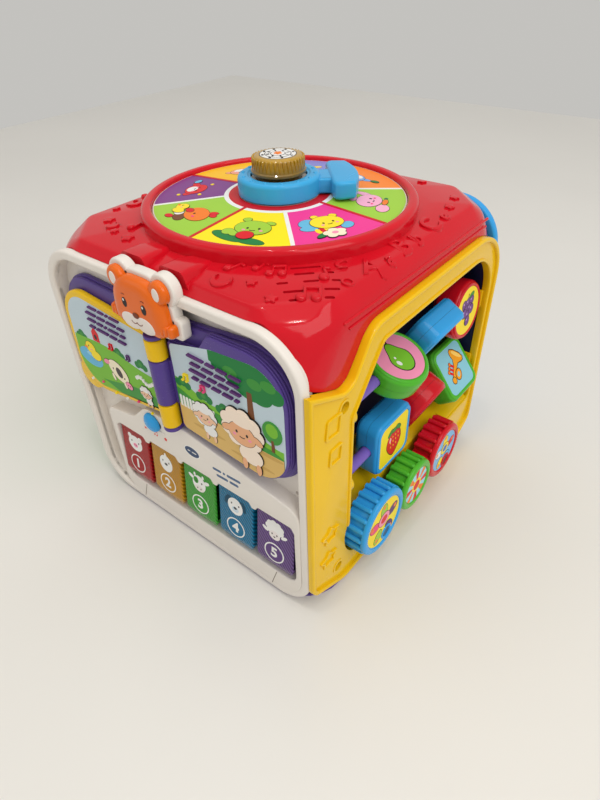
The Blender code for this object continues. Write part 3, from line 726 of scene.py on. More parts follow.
def rounded_star(u, v, radius, waist=0.52, soft=0.16):
    corners = []
    for k, (a, b) in enumerate(star_outline(u, v, radius, waist)):
        corners.append((a, b, radius * (soft if k % 2 == 0 else soft * 0.7)))
    return rounded(corners, 5)


PALE_SKY = ink(196, 214, 224)
GRASS = ink(120, 190, 50)
DEEP_GRASS = ink(62, 150, 60)
LEAF = ink(30, 128, 62)
SAND = ink(222, 184, 108)
CREAM = ink(246, 236, 206)
PINK = ink(246, 150, 180)
ROSE = ink(240, 70, 130)
PLUM = ink(92, 48, 112)
BARK = ink(120, 70, 36)
LEMON = ink(252, 226, 40)
TANGERINE = ink(244, 128, 36)
SCARLET = ink(222, 24, 36)
POOL = ink(104, 186, 224)
LIME = ink(164, 208, 62)
SUN = ink(252, 204, 20)


def face_marks(picture, u, v, size, cheeks=PINK):
    """Two eyes, two cheeks and a smile, the same plain face for every animal."""
    for side in (-1, 1):
        picture.blob(u + side * size * 0.42, v + size * 0.08, size * 0.09, size * 0.12, INK)
        picture.blob(u + side * size * 0.62, v - size * 0.2, size * 0.14, size * 0.1, cheeks)
    smile = [(u + size * 0.22 * math.sin(a), v - size * 0.16 - size * 0.1 * math.cos(a)) for a in (-1.2, -0.6, 0, 0.6, 1.2)]
    picture.stroke(smile, size * 0.06, INK)


def bush(picture, u, v, size, colour=LEAF, light=DEEP_GRASS):
    for du, dv, r in ((-0.7, 0, 0.5), (0, 0.35, 0.65), (0.7, 0, 0.5)):
        picture.blob(u + du * size, v + dv * size, r * size, r * size, colour)
    picture.blob(u - 0.1 * size, v + 0.25 * size, 0.35 * size, 0.3 * size, light)


def sheep(picture, u, v, scale, wool=SNOW, skin=ink(240, 196, 160)):
    body = [(2.5, -8, 4.2, 3.2, 0, wool), (0, -12, 0.95, 2, 0, skin), (5, -12, 0.95, 2, 0, skin)]
    curls = []
    for k in range(9):
        angle = math.radians(40 * k)
        curls.append((5.2 * math.cos(angle), 4.6 * math.sin(angle), 2.6, 2.4, 0, wool))
    picture.figure(body + curls, u, v, scale)
    picture.figure([(0, -1.6, 4.8, 3.8, 0, skin), (-5.4, -1.4, 2, 1.1, 25, skin), (5.4, -1.4, 2, 1.1, -25, skin)], u, v, scale)
    picture.blob(u, v + 3.4 * scale, 4.6 * scale, 2.4 * scale, wool)
    face_marks(picture, u, v - 1.6 * scale, 4.4 * scale)


def chick(picture, u, v, scale, colour=LEMON):
    picture.figure([(3.4, -4, 4.4, 3, 10, colour), (0, 0, 4.2, 3.8, 0, colour)], u, v, scale)
    picture.blob(u - 3.9 * scale, v - 0.6 * scale, 1.5 * scale, 0.8 * scale, TANGERINE)
    picture.blob(u - 1.4 * scale, v + 0.8 * scale, 0.4 * scale, 0.6 * scale, INK)
    picture.blob(u + 0.4 * scale, v - 1.0 * scale, 0.8 * scale, 0.5 * scale, PINK)


def hen(picture, u, v, scale):
    comb = [(4.5, 6.4, 2.2, 1.5, 40, SCARLET), (6.6, 5.0, 2.0, 1.5, 0, SCARLET)]
    tail = [(-3, -7.4, 4.0, 2.6, -20, BARK), (-7, -5.6, 2.2, 2.2, 0, SNOW)]
    feet = [(-7.2, -10.4, 2.4, 1.5, 10, SCARLET)]
    picture.figure(comb + tail + feet + [(0, 0, 7.4, 5.6, -8, TANGERINE)], u, v, scale)
    picture.figure([(-6.2, -0.8, 2.6, 1.7, 0, SCARLET)], u, v, scale)
    picture.blob(u - 1.2 * scale, v - 0.6 * scale, 0.5 * scale, 0.6 * scale, INK)
    picture.blob(u + 1.2 * scale, v - 2.4 * scale, 1.0 * scale, 0.6 * scale, ROSE)


def caterpillar(picture, u, v, scale):
    picture.figure([(-6, -6.6, 7.6, 2.8, -24, LEAF), (3, -9.2, 6.0, 2.2, -10, LEAF)], u, v, scale)
    picture.figure([(-7.4, -3.0, 2.3, 2.3, 0, LIME), (-4.4, -3.6, 2.3, 2.6, 0, LIME)], u, v, scale)
    picture.figure([(-3.2, 7.4, 1.7, 1.5, 0, LIME), (6.6, 5.6, 1.9, 1.3, -15, LIME)], u, v, scale)
    picture.figure([(1, 1, 7, 5.6, -6, LIME)], u, v, scale)
    face_marks(picture, u + 1.4 * scale, v, 5.4 * scale)
    picture.figure([(0, -5.2, 3.3, 3.0, 0, SCARLET)], u, v, scale)


def bee(picture, u, v, scale):
    wings = [(-6.6, 3.4, 3.6, 3.0, 30, POOL), (-8, -0.8, 3.4, 2.0, -20, POOL), (6.4, -4.2, 3, 2.2, 30, POOL)]
    picture.figure(wings, u, v, scale)
    for k in range(3):
        picture.blob(u + (-6 + k * 1.9) * scale, v - 4.2 * scale, 1.1 * scale, 2.0 * scale, SCARLET if k % 2 else LEMON)
    picture.figure([(-1.6, 6.8, 1.5, 1.3, 0, LEMON), (5.6, 5.2, 1.6, 1.2, -20, LEMON)], u, v, scale)
    picture.figure([(0.6, 1.0, 6.6, 5.0, -8, LEMON)], u, v, scale)
    face_marks(picture, u + 1.0 * scale, v + 0.2 * scale, 5.0 * scale)
    petals = [(2.8 * math.cos(a) - 1.4, 1.9 * math.sin(a) - 8.2, 2.0, 1.6, 0, CREAM) for a in (0.3, 1.5, 2.8, 4.0, 5.3)]
    picture.figure([(-6.4, -8.0, 2.8, 1.2, 20, LEAF)] + petals, u, v, scale)
    picture.blob(u - 1.4 * scale, v - 8.2 * scale, 1.3 * scale, 1.0 * scale, PINK)


def rabbit(picture, u, v, scale, coat=ink(248, 176, 206)):
    picture.figure([(1.4, 7, 3.6, 1.7, 10, coat), (7.4, 3.6, 1.7, 3.6, -20, coat)], u, v, scale)
    picture.figure([(-6, -6.4, 3.8, 2.6, 0, coat), (0.4, 0, 6.8, 5.0, -6, coat)], u, v, scale)
    face_marks(picture, u + 0.4 * scale, v - 0.6 * scale, 5.2 * scale, ROSE)
    picture.figure([(0.6, -6.4, 3.0, 1.1, 0, TANGERINE)], u, v, scale)
    picture.blob(u + 4.4 * scale, v - 6.2 * scale, 1.2 * scale, 0.8 * scale, LEAF)


def bird(picture, u, v, scale, coat, breast):
    picture.figure([(-6.4, -2.6, 3.4, 1.8, 30, coat), (5.8, -1.4, 3.2, 2.0, -30, coat)], u, v, scale)
    picture.figure([(0, 0, 6.6, 5.2, 0, coat)], u, v, scale)
    picture.blob(u, v - 2.0 * scale, 3.6 * scale, 2.6 * scale, breast)
    face_marks(picture, u, v + 0.4 * scale, 4.8 * scale)


def cow(picture, u, v, scale):
    legs = [(-6, -6, 1.2, 2.6, 20, CREAM), (4, -8, 1.2, 2.6, 10, CREAM)]
    picture.figure(legs + [(0, 0, 9.0, 6.2, -28, CREAM), (-9.6, 3.4, 2.8, 1.7, 20, PINK)], u, v, scale)
    picture.blob(u + 0.6 * scale, v - 0.6 * scale, 2.6 * scale, 3.6 * scale, ink(70, 62, 60), 24)
    picture.figure([(7.6, -7.0, 3.0, 2.4, -20, PINK)], u, v, scale)
    for du in (-0.9, 0.9):
        picture.blob(u + (7.6 + du) * scale, v - 7.0 * scale, 0.35 * scale, 0.5 * scale, INK)
    for du, dv in ((-4.6, 0.6), (4.6, -3.2)):
        picture.blob(u + du * scale, v + dv * scale, 0.5 * scale, 0.7 * scale, INK)


def note_shape(picture, u, v, size, colour):
    for du in (0, 3.4):
        picture.blob(u + du * size, v, 1.2 * size, 0.9 * size, colour, 20)
        picture.stroke([(u + (du + 1.0) * size, v), (u + (du + 1.0) * size, v + 4.6 * size)], 0.5 * size, colour)
    picture.stroke([(u + 0.9 * size, v + 4.4 * size), (u + 4.6 * size, v + 4.8 * size)], 1.1 * size, colour)


# ---------------------------------------------------------------- outlines shared by neighbours


def front_outline():
    """The front and back trays' outline in (x, z)."""
    corners = (
        (-HALF_WIDTH, PANEL_BOTTOM, 32),
        (HALF_WIDTH, PANEL_BOTTOM, 32),
        (HALF_WIDTH, FRONT_TOP, 39),
        (-HALF_WIDTH, FRONT_TOP, 39),
    )
    return rounded(corners, 20)


def side_outline():
    """The side panels' outline in (y, z): it dips at the front, under the cap's round corner."""
    corners = (
        (-HALF_DEPTH, 25, 14),
        (-92, PANEL_BOTTOM, 30),
        (92, PANEL_BOTTOM, 30),
        (HALF_DEPTH, 25, 14),
        (HALF_DEPTH, SIDE_TOP, 48),
        (-68, SIDE_TOP, 22),
        (-92, 198, 12),
        (-HALF_DEPTH, 217, 0),
    )
    return rounded(corners, 16)


def bay_outline(bottom, grow=0.0, corner=6.0):
    """The opening round the spinning blocks in (y, z)."""
    corners = (
        (BAY_FRONT - grow, bottom, corner),
        (BAY_REAR + grow, bottom, corner),
        (BAY_REAR + grow, BAY_CEILING + grow, 40 + grow),
        (-53, BAY_CEILING + grow, 8),
        (BAY_FRONT - grow, 172, 8),
    )
    return rounded(corners, 12)


def gear_radius(teeth):
    return GEAR_MODULE * teeth / 2


def gear_layout():
    """name: (teeth, centre in (y, z), first tooth's angle), so that the three mesh at rest."""
    blue = Vector((-57, 50))
    step = gear_radius(20) + gear_radius(16)
    green = blue + Vector((math.sqrt(step**2 - 9.0), -3.0))
    step = gear_radius(16) + gear_radius(18)
    red = green + Vector((math.sqrt(step**2 - 4.0), 2.0))
    towards_green = math.atan2(green.y - blue.y, green.x - blue.x)
    towards_red = math.atan2(red.y - green.y, red.x - green.x)
    green_tooth = towards_green + math.pi + math.pi / 16
    offset = (green_tooth - towards_red) % (2 * math.pi / 16)
    red_tooth = towards_red + math.pi - offset * 16 / 18 + math.pi / 18
    return {"blue": (20, blue, towards_green), "green": (16, green, green_tooth), "red": (18, red, red_tooth)}


# ---------------------------------------------------------------- red cap


def through(points, steps):
    """A smooth curve through points of any length, by Catmull-Rom spans."""
    curve = []
    last = len(points) - 1
    for i in range(last):
        window = [points[max(i - 1, 0)], points[i], points[i + 1], points[min(i + 2, last)]]
        for k in range(steps):
            t = k / steps
            weights = (
                -0.5 * t + t * t - 0.5 * t**3,
                1 - 2.5 * t * t + 1.5 * t**3,
                0.5 * t + 2 * t * t - 1.5 * t**3,
                -0.5 * t * t + 0.5 * t**3,
            )
            curve.append(tuple(sum(w * p[n] for w, p in zip(weights, window)) for n in range(len(points[0]))))
    curve.append(tuple(points[-1]))
    return curve


# Height, inset from the body's sides, corner cut and corner rounding: round low down, cut off on top.
CAP_LEVELS = (
    (197.0, 2.0, 10.5, 17.0),
    (215.0, 1.0, 15.2, 25.0),
    (233.0, 1.0, 22.3, 36.0),
    (243.0, 2.2, 26.0, 41.0),
    (248.5, 4.4, 28.0, 38.0),
    (252.6, 7.8, 29.5, 24.0),
    (255.4, 10.4, 30.5, 12.0),
    (256.2, 12.0, 30.5, 9.0),
    (256.8, 15.5, 30.0, 8.0),
    (258.2, 26.0, 28.0, 8.0),
    (259.0, 36.0, 26.0, 8.0),
)


def cap_ring(edge, chamfer, radius):
    """The cap's outline at one height: a rectangle whose corners are cut and then rounded."""
    x = HALF_WIDTH - edge
    y = HALF_DEPTH - edge
    corners = []
    for sx, sy in ((-1, -1), (1, -1), (1, 1), (-1, 1)):
        pair = [(sx * x, sy * (y - chamfer), radius), (sx * (x - chamfer), sy * y, radius)]
        corners += pair if sx * sy > 0 else pair[::-1]
    return rounded(corners, 10)


def cap_form(wall):
    sections = []
    for height, edge, chamfer, radius in through(CAP_LEVELS, 4):
        ring = cap_ring(edge + wall, chamfer - 0.586 * wall, max(radius - wall, 4))
        sections.append([(u, v, height - wall) for u, v in ring])
    return loft(sections)


def saddle(side):
    """One of the two blunt humps behind the ears."""
    sections = []
    for y, low, high, top, foot in ((-126.3, 244, 262.5, 10, 17), (-112, 246, 262.2, 10, 16), (-98, 250, 259.6, 8, 13)):
        middle = side * 18.5
        ring = rounded(
            ((middle - foot, low, 1), (middle + foot, low, 1), (middle + top, high, 4), (middle - top, high, 4)), 6
        )
        sections.append([(u, y, v) for u, v in ring])
    return loft(sections)


# Rows of sound slots at the front right corner: how far out along the diagonal, and each slot's run along it.
GRILLE = (
    (107.5, ((-4, 15),)),
    (115.5, ((-2.5, 10), (17, 22))),
    (124.5, ((-14, -7), (2, 11.5), (19, 24.5))),
    (134.0, ((-11, 2), (13, 22.5))),
    (142.5, ((-8.5, -2.5), (12, 18))),
)


def grille_slots():
    along = Vector((1, 1)).normalized()
    out = Vector((1, -1)).normalized()
    slots = []
    for reach, runs in GRILLE:
        for start, end in runs:
            ring = box_outline(start, -1.2, end, 1.2, 1.1, 5)
            slots.append(slab([tuple(along * t + out * (reach - v)) for t, v in ring], 236, 275, "Z"))
    return slots


def make_top_cap():
    cap = cap_form(0)
    ridges = []
    for side in (-1, 1):
        ridges.append(drum(1.1, -92, 104, "Y", (side * 122.7, 243.2), 1.0, 16))
        ridges.append(drum(0.9, -88, 100, "Y", (side * 123.8, 238.6), 0.8, 16))
    cap = join(cap, saddle(-1), saddle(1), *ridges)
    cap = cut(cap, cap_form(3.0))
    cap = cut(cap, slab(inset(front_outline(), -0.3), -HALF_DEPTH - 5, -HALF_DEPTH + RIM_DEPTH + 0.3, "Y"))
    cap = cut(cap, slab(inset(front_outline(), -0.3), HALF_DEPTH - RIM_DEPTH - 0.3, HALF_DEPTH + 5, "Y"))
    cap = cut(cap, slab(inset(front_outline(), RIM_WIDTH - 0.3), -130, -118.2, "Y"))
    side = inset(side_outline(), -0.3)
    cap = cut(cap, slab(side, SIDE_INNER - 3.5, SIDE_LIP + 5, "X"), slab(side, -SIDE_LIP - 5, -SIDE_INNER + 3.5, "X"))
    cap = cut(cap, drum(8, 240, 275), *grille_slots())
    ring = turned(
        [(RING_OUTER, 257)]
        + arc(RING_OUTER - 4, RING_TOP - 4, 4, 0, 90, 8)
        + arc(RING_INNER + 2, RING_TOP - 2, 2, 90, 180, 6)
        + [(RING_INNER, 257)],
        192,
    )
    cloth = textured("speaker_cloth", (0.006, 0.006, 0.006), 0.8, 0.0002, 1500.0)
    put(drum(27, 248.4, 249.6, centre=(90, -80), edge=0.3), "speaker_cloth", BODY, cloth)
    material = moulded("cap_red_plastic", RED, 0.12, coat=0.14)
    put(together([cap, ring]), "cap_shell", BODY, material, ["top_cap"], sharp=38)


def raised_letter(letter, size, depth, bevel=0.35, bold=0.0):
    """A letter lying flat on the origin, centred, as a mesh."""
    curve = bpy.data.curves.new("letter", "FONT")
    curve.body = letter
    curve.size = size * MM
    curve.extrude = depth / 2 * MM
    curve.bevel_depth = bevel * MM
    curve.bevel_resolution = 2
    curve.offset = bold * MM
    curve.align_x = "CENTER"
    curve.align_y = "CENTER"
    return clean(real(raw_curve(curve)))


def placed(piece, matrix):
    piece.data.transform(matrix)
    return piece


def raised_note(pair=True):
    """A music note, or two joined by a beam, lying flat on the origin."""
    parts = []
    for x in (0, 8) if pair else (0,):
        parts.append(drum(2.9, -1.4, 2.6, centre=(x, 0), edge=1.6, steps=28))
        parts.append(block((x + 1.2, 0, -1.4), (x + 2.8, 10, 1.8), 0.5))
    if pair:
        parts.append(block((1.2, 7.8, -1.4), (10.8, 10.6, 1.9), 0.6))
    else:
        parts.append(block((1.2, 7.8, -1.4), (5.6, 10.0, 1.8), 0.6))
    return together(parts)


def crescent_outline(radius):
    outer = arc(0, 0, radius, 50, 310, 26)
    inner = arc(radius * 0.45, 0, radius * 0.78, 292, 68, 20)
    return outer + inner


def cap_height(x, y):
    """The height of the cap's gently domed top over a point."""
    across = HALF_WIDTH - abs(x)
    along = HALF_DEPTH - abs(y)
    edge = min(across, along, (across + along - 30) / 2)
    for outer, inner in zip(CAP_LEVELS, CAP_LEVELS[1:]):
        if edge < inner[1]:
            share = (edge - outer[1]) / (inner[1] - outer[1])
            return outer[0] + (inner[0] - outer[0]) * share
    return CAP_LEVELS[-1][0]


def make_cap_relief():
    """Letters, notes, stars and moons that stand up from the cap's domed top."""
    parts = []

    def add(piece, x, y, degrees, size=1.0):
        turn = Matrix.Rotation(math.radians(degrees), 4, "Z") @ Matrix.Diagonal((size, size, 1, 1))
        parts.append(placed(piece, Matrix.Translation(Vector((x, y, 0)) * MM) @ turn))

    def moon(radius):
        return slab(crescent_outline(radius), -1.4, 1.5, "Z", edge=0.6)

    def star(radius):
        return slab(rounded_star(0, 0, radius), -1.4, 1.5, "Z", edge=0.5)

    letters = (("A", 110, -45, 58, 22), ("a", 113, -28, 66, 14), ("B", 110, -8, 84, 22), ("b", 112, 9, 88, 15))
    for letter, x, y, degrees, size in letters + (("C", 109, 35, 98, 22), ("c", 109, 53, 104, 15)):
        add(raised_letter(letter, size, 2.2, 0.5), x, y, degrees)
    add(moon(7.0), 48, -113, 100)
    add(moon(4.6), 96, -56, 40)
    for x, y, degrees, size in ((42, -101, -10, 1.0), (57, -92, 10, 0.9), (97, -76, 50, 1.15)):
        add(raised_note(False), x, y, degrees, size)
    add(raised_note(), 68, -92, 36, 0.95)
    add(raised_note(), 99, -101, 36, 1.1)
    for x, y, size in ((66, -106, 4.6), (86, -112, 5.2), (-49, -106, 6), (-66, -104, 4), (-88, -92, 6), (-103, -74, 4)):
        add(star(size), x, y, 30)
    add(slab([arc(0, 0, 4.2, 0, 345, 23), arc(0, 0, 2.6, 0, 345, 23)], -1.4, 1.3, "Z", edge=0.4), 110, -70, 0)
    add(moon(7.0), -100, -58, 200)
    add(moon(5.0), -76, -98, 160)
    add(raised_note(False), -60, -94, 10)
    for x, y, turn in ((-108, -34, -90), (-108, 12, -90), (-106, 60, -60)):
        add(raised_note(), x, y, turn)
    for x, y in ((-60, 110), (0, 114), (60, 110), (104, 72), (98, 92)):
        add(star(5), x, y, 0)
    relief = together(parts)
    for vertex in relief.data.vertices:
        vertex.co.z += cap_height(vertex.co.x / MM, vertex.co.y / MM) * MM
    put(relief, "cap_relief", BODY, moulded("cap_red_plastic", RED), sharp=30)


# ---------------------------------------------------------------- white front tray


def piano_outline():
    corners = (
        (-93, 9.4, 14),
        (117.4, 9.4, 22),
        (118.4, 112, 14),
        (58, 123, 40),
        (8, 131, 20),
        (-38, 130.5, 14),
        (-56, 113, 14),
        (-93, 106.5, 9),
    )
    return rounded(corners, 12)


def key_x(number):
    return FIRST_KEY_X + (number - 1) * KEY_PITCH


def pocket_outline(stepped):
    """The opening for the keys in (x, z); at the front its top edge steps up over each key."""
    left = key_x(1) - KEY_WIDTH / 2 - 1.5
    right = key_x(5) + KEY_WIDTH / 2 + 1.5
    bottom = KEY_BOTTOM - 2
    if not stepped:
        return rounded(((left, bottom, 3), (right, bottom, 3), (right, KEY_PIVOT_Z + 4.5, 2), (left, KEY_PIVOT_Z + 4.5, 2)), 4)
    corners = [(left, bottom, 9), (right, bottom, 9)]
    for number in range(5, 0, -1):
        x = key_x(number)
        half = KEY_WIDTH / 2
        ends = ((x + half + 1.5, 88.5, 1.2), (x + half - 1.2, VALANCE_EDGE, 1.6), (x - half + 4, VALANCE_EDGE, 1.6))
        corners += [*ends, (x - half + 1, 88.5, 1.2)]
    corners[-1] = (left, 88.5, 1.5)
    return rounded(corners, 5)


def bear_shapes(grow, back, front, edge, bend=4):
    """Head, ears and paws, as closed shapes that overlap."""
    if grow:
        head = rounded(((-29.5, 216.6, 13), (29.5, 216.6, 13), (26, 260, 23), (-26, 260, 23)), 14)
    else:
        head = rounded(((-27, 219, 12), (27, 219, 12), (23, 257, 20), (-23, 257, 20)), 14)
    shapes = [slab(head, front, back, "Y", edge, bend)]
    for side in (-1, 1):
        shapes.append(drum(8 + grow, front, back, "Y", (side * 20, 252), edge, 48))
        low = 224.0 - grow * 1.2
        inner, outer = sorted((side * 18, side * (30 + grow)))
        shapes.append(slab(box_outline(inner, low, outer, 232 + grow, 3.6, 8), front, back, "Y", edge, bend))
    return shapes


def make_front_tray():
    outline = front_outline()
    inner = inset(outline, RIM_WIDTH)
    floor_back = RECESS_FLOOR + 3
    rear_pocket = pocket_outline(False)
    shapes = [
        slab([outline, inner], -HALF_DEPTH, -HALF_DEPTH + RIM_DEPTH, "Y", 2.2, 5),
        slab([inset(outline, RIM_WIDTH - 2.4), inner], -HALF_DEPTH + 2.4, floor_back, "Y", 0.3, 1),
        slab([inset(outline, RIM_WIDTH - 1), rear_pocket], RECESS_FLOOR, floor_back, "Y"),
        slab([piano_outline(), pocket_outline(True)], -HALF_DEPTH, -130.9, "Y", 1.2, 4),
        slab([inset(piano_outline(), 0.02), rear_pocket], -132.2, RECESS_FLOOR + 1, "Y"),
        slab(box_outline(-22, 236, 22, 248.5, 3, 6), -131, -126.2, "Y"),
        block((SWITCH_X - 13, -134.3, SWITCH_Z - 7), (SWITCH_X + 13, -131, SWITCH_Z - 6.2), 0.3),
    ]
    shapes += bear_shapes(3.2, -129.0, -137.0, 1.6)
    for low, high in ((-113, -106), (-98, -90), (92, 98)):
        shapes.append(block((low, -123.5, 5), (high, RECESS_FLOOR + 1, 12), 0.4))
    material = moulded("tray_white_plastic", WHITE, 0.3, 0.00003, 0.12, 0.95)
    put(together(shapes), "front_tray", BODY, material, ["front_panel"], sharp=38)


def make_tray_seams():
    """The dark parting lines in the tray's sill, the switch's slot as a grey tile of painted shade, and its three small
    signs.
    """
    art = Picture(lambda u, v, h: (u, -HALF_DEPTH - h, v))
    # The switch's slot is painted shade: a flat grey tile round the knob, where the opening is dark.
    slot = box_outline(SWITCH_X - 9.8, SWITCH_Z - 3.6, SWITCH_X + 9.8, SWITCH_Z + 3.6, 3.4, 8)
    art.tile(slot, ink(96, 92, 90))
    red = ink(226, 40, 34)
    for k, u in enumerate((SWITCH_X - 12, SWITCH_X, SWITCH_X + 12)):
        z = SWITCH_Z - 12.5
        if k == 0:
            art.tile([(u - 1.6, z - 1.4), (u + 1.8, z), (u - 1.6, z + 1.4)], red)
        elif k == 1:
            note_shape(art, u - 1.6, z - 1.6, 0.8, red)
        else:
            art.tile(rounded_star(u, z, 2.4), red)
    for u, lean in ((-64, -7), (93, -6)):
        art.stroke([(u, 27), (u + lean, 8)], 0.55, ink(112, 98, 86))
    art.finish("switch_signs", BODY, "red_plastic")
    # The recess floor's dimples are painted shade: flat discs a little darker than the white plastic.
    sill = Picture(lambda u, v, h: (u, RECESS_FLOOR - h, v))
    for x, z in ((-108, 146), (-112, 58), (108, 118)):
        sill.blob(x, z, 1.7, 1.7, ink(186, 176, 166))
    sill.finish("recess_dimple_shade", BODY, "white_plastic")


def emblem(art, u, v):
    """A plain dark oval with a pale ring, and two rows of plain bars beside it."""
    art.blob(u, v, 8.6, 5.4, SNOW)
    art.blob(u, v, 7.8, 4.7, ink(52, 74, 110))
    art.lines_of_words(u, v, [(3.0, 5.0)], 3, 1.0, SNOW)
    art.lines_of_words(u + 36, v - 3, [(9, 2.5, 14), (12, 9)], 5.6, 2.5, ink(78, 104, 140), lean=3)


def make_emblem():
    art = Picture(lambda u, v, h: (u, -HALF_DEPTH - h, v))
    emblem(art, 14, 112.5)
    art.finish("tray_emblem", BODY, "white_plastic")


# ---------------------------------------------------------------- bear


def pillow(outline, back, front, reach, steps=7):
    """A crowned form on an outline: flat at the back, domed over the last millimetres to the front."""
    sections = [[(u, back, v) for u, v in outline]]
    for k in range(steps + 1):
        angle = math.pi / 2 * k / steps
        drop = reach * (1 - math.cos(angle))
        y = back + (front - back) * (0.35 + 0.65 * math.sin(angle))
        sections.append([(u, y, v) for u, v in inset(outline, drop)])
    return loft(sections)


def make_bear():
    head = rounded(((-27, 219, 12), (27, 219, 12), (23, 257, 20), (-23, 257, 20)), 20)
    back = -137.3
    shapes = [pillow(head, back, -145.0, 9.0)]
    for side in (-1, 1):
        ear = arc(side * 20, 252, 8, 0, 348, 29)
        shapes.append(pillow(ear, back, -142.4, 3.0))
        for k in range(3):
            x = side * (20.6 + k * 3.5)
            shapes.append(pillow(rounded(((x - 2.6, 223.4, 2.4), (x + 2.6, 223.4, 2.4), (x + 2.4, 232, 2.2), (x - 2.4, 232, 2.2)), 6), back, -144.2 + k * 0.4, 1.9, 5))
    material = moulded("bear_orange_plastic", ORANGE, 0.16, coat=0.25)
    put(together(shapes), "bear", BODY, material, ["bear_head"], sharp=40)
    tops = []
    for side in (-1, 1):
        ear = [(side * 20.5 + 3.3 * math.cos(a * math.pi / 12), 252 + 4.6 * math.sin(a * math.pi / 12)) for a in range(24)]
        tops.append(pillow(ear, -141.8, -142.8, 1.2, 4))
        cheek = [(side * 7.0 + 10.0 * math.cos(a * math.pi / 16), 227.2 + 6.6 * math.sin(a * math.pi / 16)) for a in range(32)]
        tops.append(pillow(cheek, -143.0, -145.35, 3.0, 5))
    pale = moulded("bear_muzzle_paint", (0.86, 0.78, 0.72), 0.3)
    put(together(tops), "bear_muzzle", BODY, pale, sharp=40)
    marks = Picture(lambda u, v, h: (u, -145.05 - h, v), 0.04)
    for side in (-1, 1):
        marks.blob(side * 9.4, 239.4, 2.3, 3.5, INK)
        marks.blob(side * 9.4 - 0.7, 241.0, 0.75, 0.95, SNOW)
        marks.stroke([(side * 9.4 + 1.6 * t, 245.0 + 0.5 * (1 - t * t)) for t in (-1, -0.5, 0, 0.5, 1)], 0.5, ink(140, 60, 20))
    marks.finish("bear_eyes", BODY)
    smile = Picture(lambda u, v, h: (u, -145.4 - h, v), 0.04)
    smile.blob(0, 232.6, 3.0, 2.0, ink(120, 56, 30))
    for side in (-1, 1):
        smile.stroke([(side * 2.6 + 2.8 * math.cos(a), 228.2 + 2.0 * math.sin(a)) for a in (-3.0, -2.4, -1.6, -0.8, -0.2)], 0.5, ink(120, 56, 30))
    smile.finish("bear_nose", BODY)


# ---------------------------------------------------------------- book

LEFT_PAGE = ((-8, 138.6, 3), (-8, 211.4, 3), (-112, 221, 28), (-115, 122.5, 28))
RIGHT_PAGE = ((10, 213, 3), (10, 137, 3), (113, 127.5, 32), (114.5, 232.5, 34), (50, 231, 8), (38, 214.5, 8))


def spine_barrels(low, high):
    return drum(BARREL_RADIUS, low, high, "Z", (SPINE_X, SPINE_Y), 1.4, 48)


def counterclockwise(outline):
    area = sum(outline[i - 1][0] * v - u * outline[i - 1][1] for i, (u, v) in enumerate(outline))
    return list(outline) if area > 0 else list(outline)[::-1]


def make_book_pads():
    left = counterclockwise(rounded(((-8, 134.5, 2), (-8, 226, 2), (-112, 230, 30), (-114, 128, 30)), 16))
    right = counterclockwise(rounded(((10, 226, 2), (10, 132, 2), (117, 124.5, 34), (117, 236, 36)), 16))
    shapes = []
    for outline in (left, right):
        shapes.append(slab(outline, PAD_FRONT + 2.6, PAD_BACK, "Y", 0.8))
        shapes.append(slab(inset(outline, 1.4), PAD_FRONT, PAD_FRONT + 2.9, "Y", 0.8))
    shapes.append(block((-10, PAD_FRONT, 133), (12, PAD_BACK, 225), 0.5))
    for low, high in ((133.2, 136.7), (212.9, 216.0)):
        shapes.append(drum(7, low, high, "Z", (SPINE_X, SPINE_Y), 0.8, 40))
        shapes.append(block((SPINE_X - 6, SPINE_Y, low), (SPINE_X + 6, PAD_FRONT + 1, high), 0.4))
    material = moulded("book_purple_plastic", PURPLE, 0.3)
    put(together(shapes), "book_pads", BODY, material, ["book_base"], sharp=35)


def make_yellow_page():
    outline = counterclockwise(rounded(LEFT_PAGE, 18))
    shapes = [slab(outline, LEAF_FRONT, LEAF_BACK, "Y", 1.7, 5)]
    shapes.append(drum(14, LEAF_FRONT + 0.6, LEAF_BACK - 0.4, "Y", (-103.5, 136), 1.4, 48))
    for low, high in ((137, 157.7), (196.3, 212.6)):
        shapes.append(spine_barrels(low, high))
        shapes.append(block((SPINE_X - 10, LEAF_FRONT + 0.4, low + 0.5), (SPINE_X, LEAF_BACK - 0.6, high - 0.5), 0.4))
    material = moulded("page_yellow_plastic", YELLOW, 0.22)
    put(together(shapes), "yellow_page", "page_yellow", material, ["book_page_yellow"], sharp=35)


def make_purple_page():
    outline = counterclockwise(rounded(RIGHT_PAGE, 18))
    shapes = []
    for layer, (low, high) in enumerate(((-130.3, LEAF_BACK), (-132.0, -130.5), (LEAF_FRONT, -132.2))):
        shapes.append(slab(inset(outline, 0.5 * layer), low, high, "Y", 0.55, 3))
    shapes.append(slab(inset(outline, 2.2), LEAF_FRONT + 0.3, LEAF_BACK - 0.3, "Y"))
    low, high = 158.3, 195.7
    shapes.append(spine_barrels(low, high))
    shapes.append(block((SPINE_X, LEAF_FRONT + 0.4, low + 0.5), (SPINE_X + 11, LEAF_BACK - 0.6, high - 0.5), 0.4))
    material = moulded("page_purple_plastic", PURPLE, 0.26)
    put(together(shapes), "purple_page", "page_purple", material, ["book_page_purple"], sharp=35)


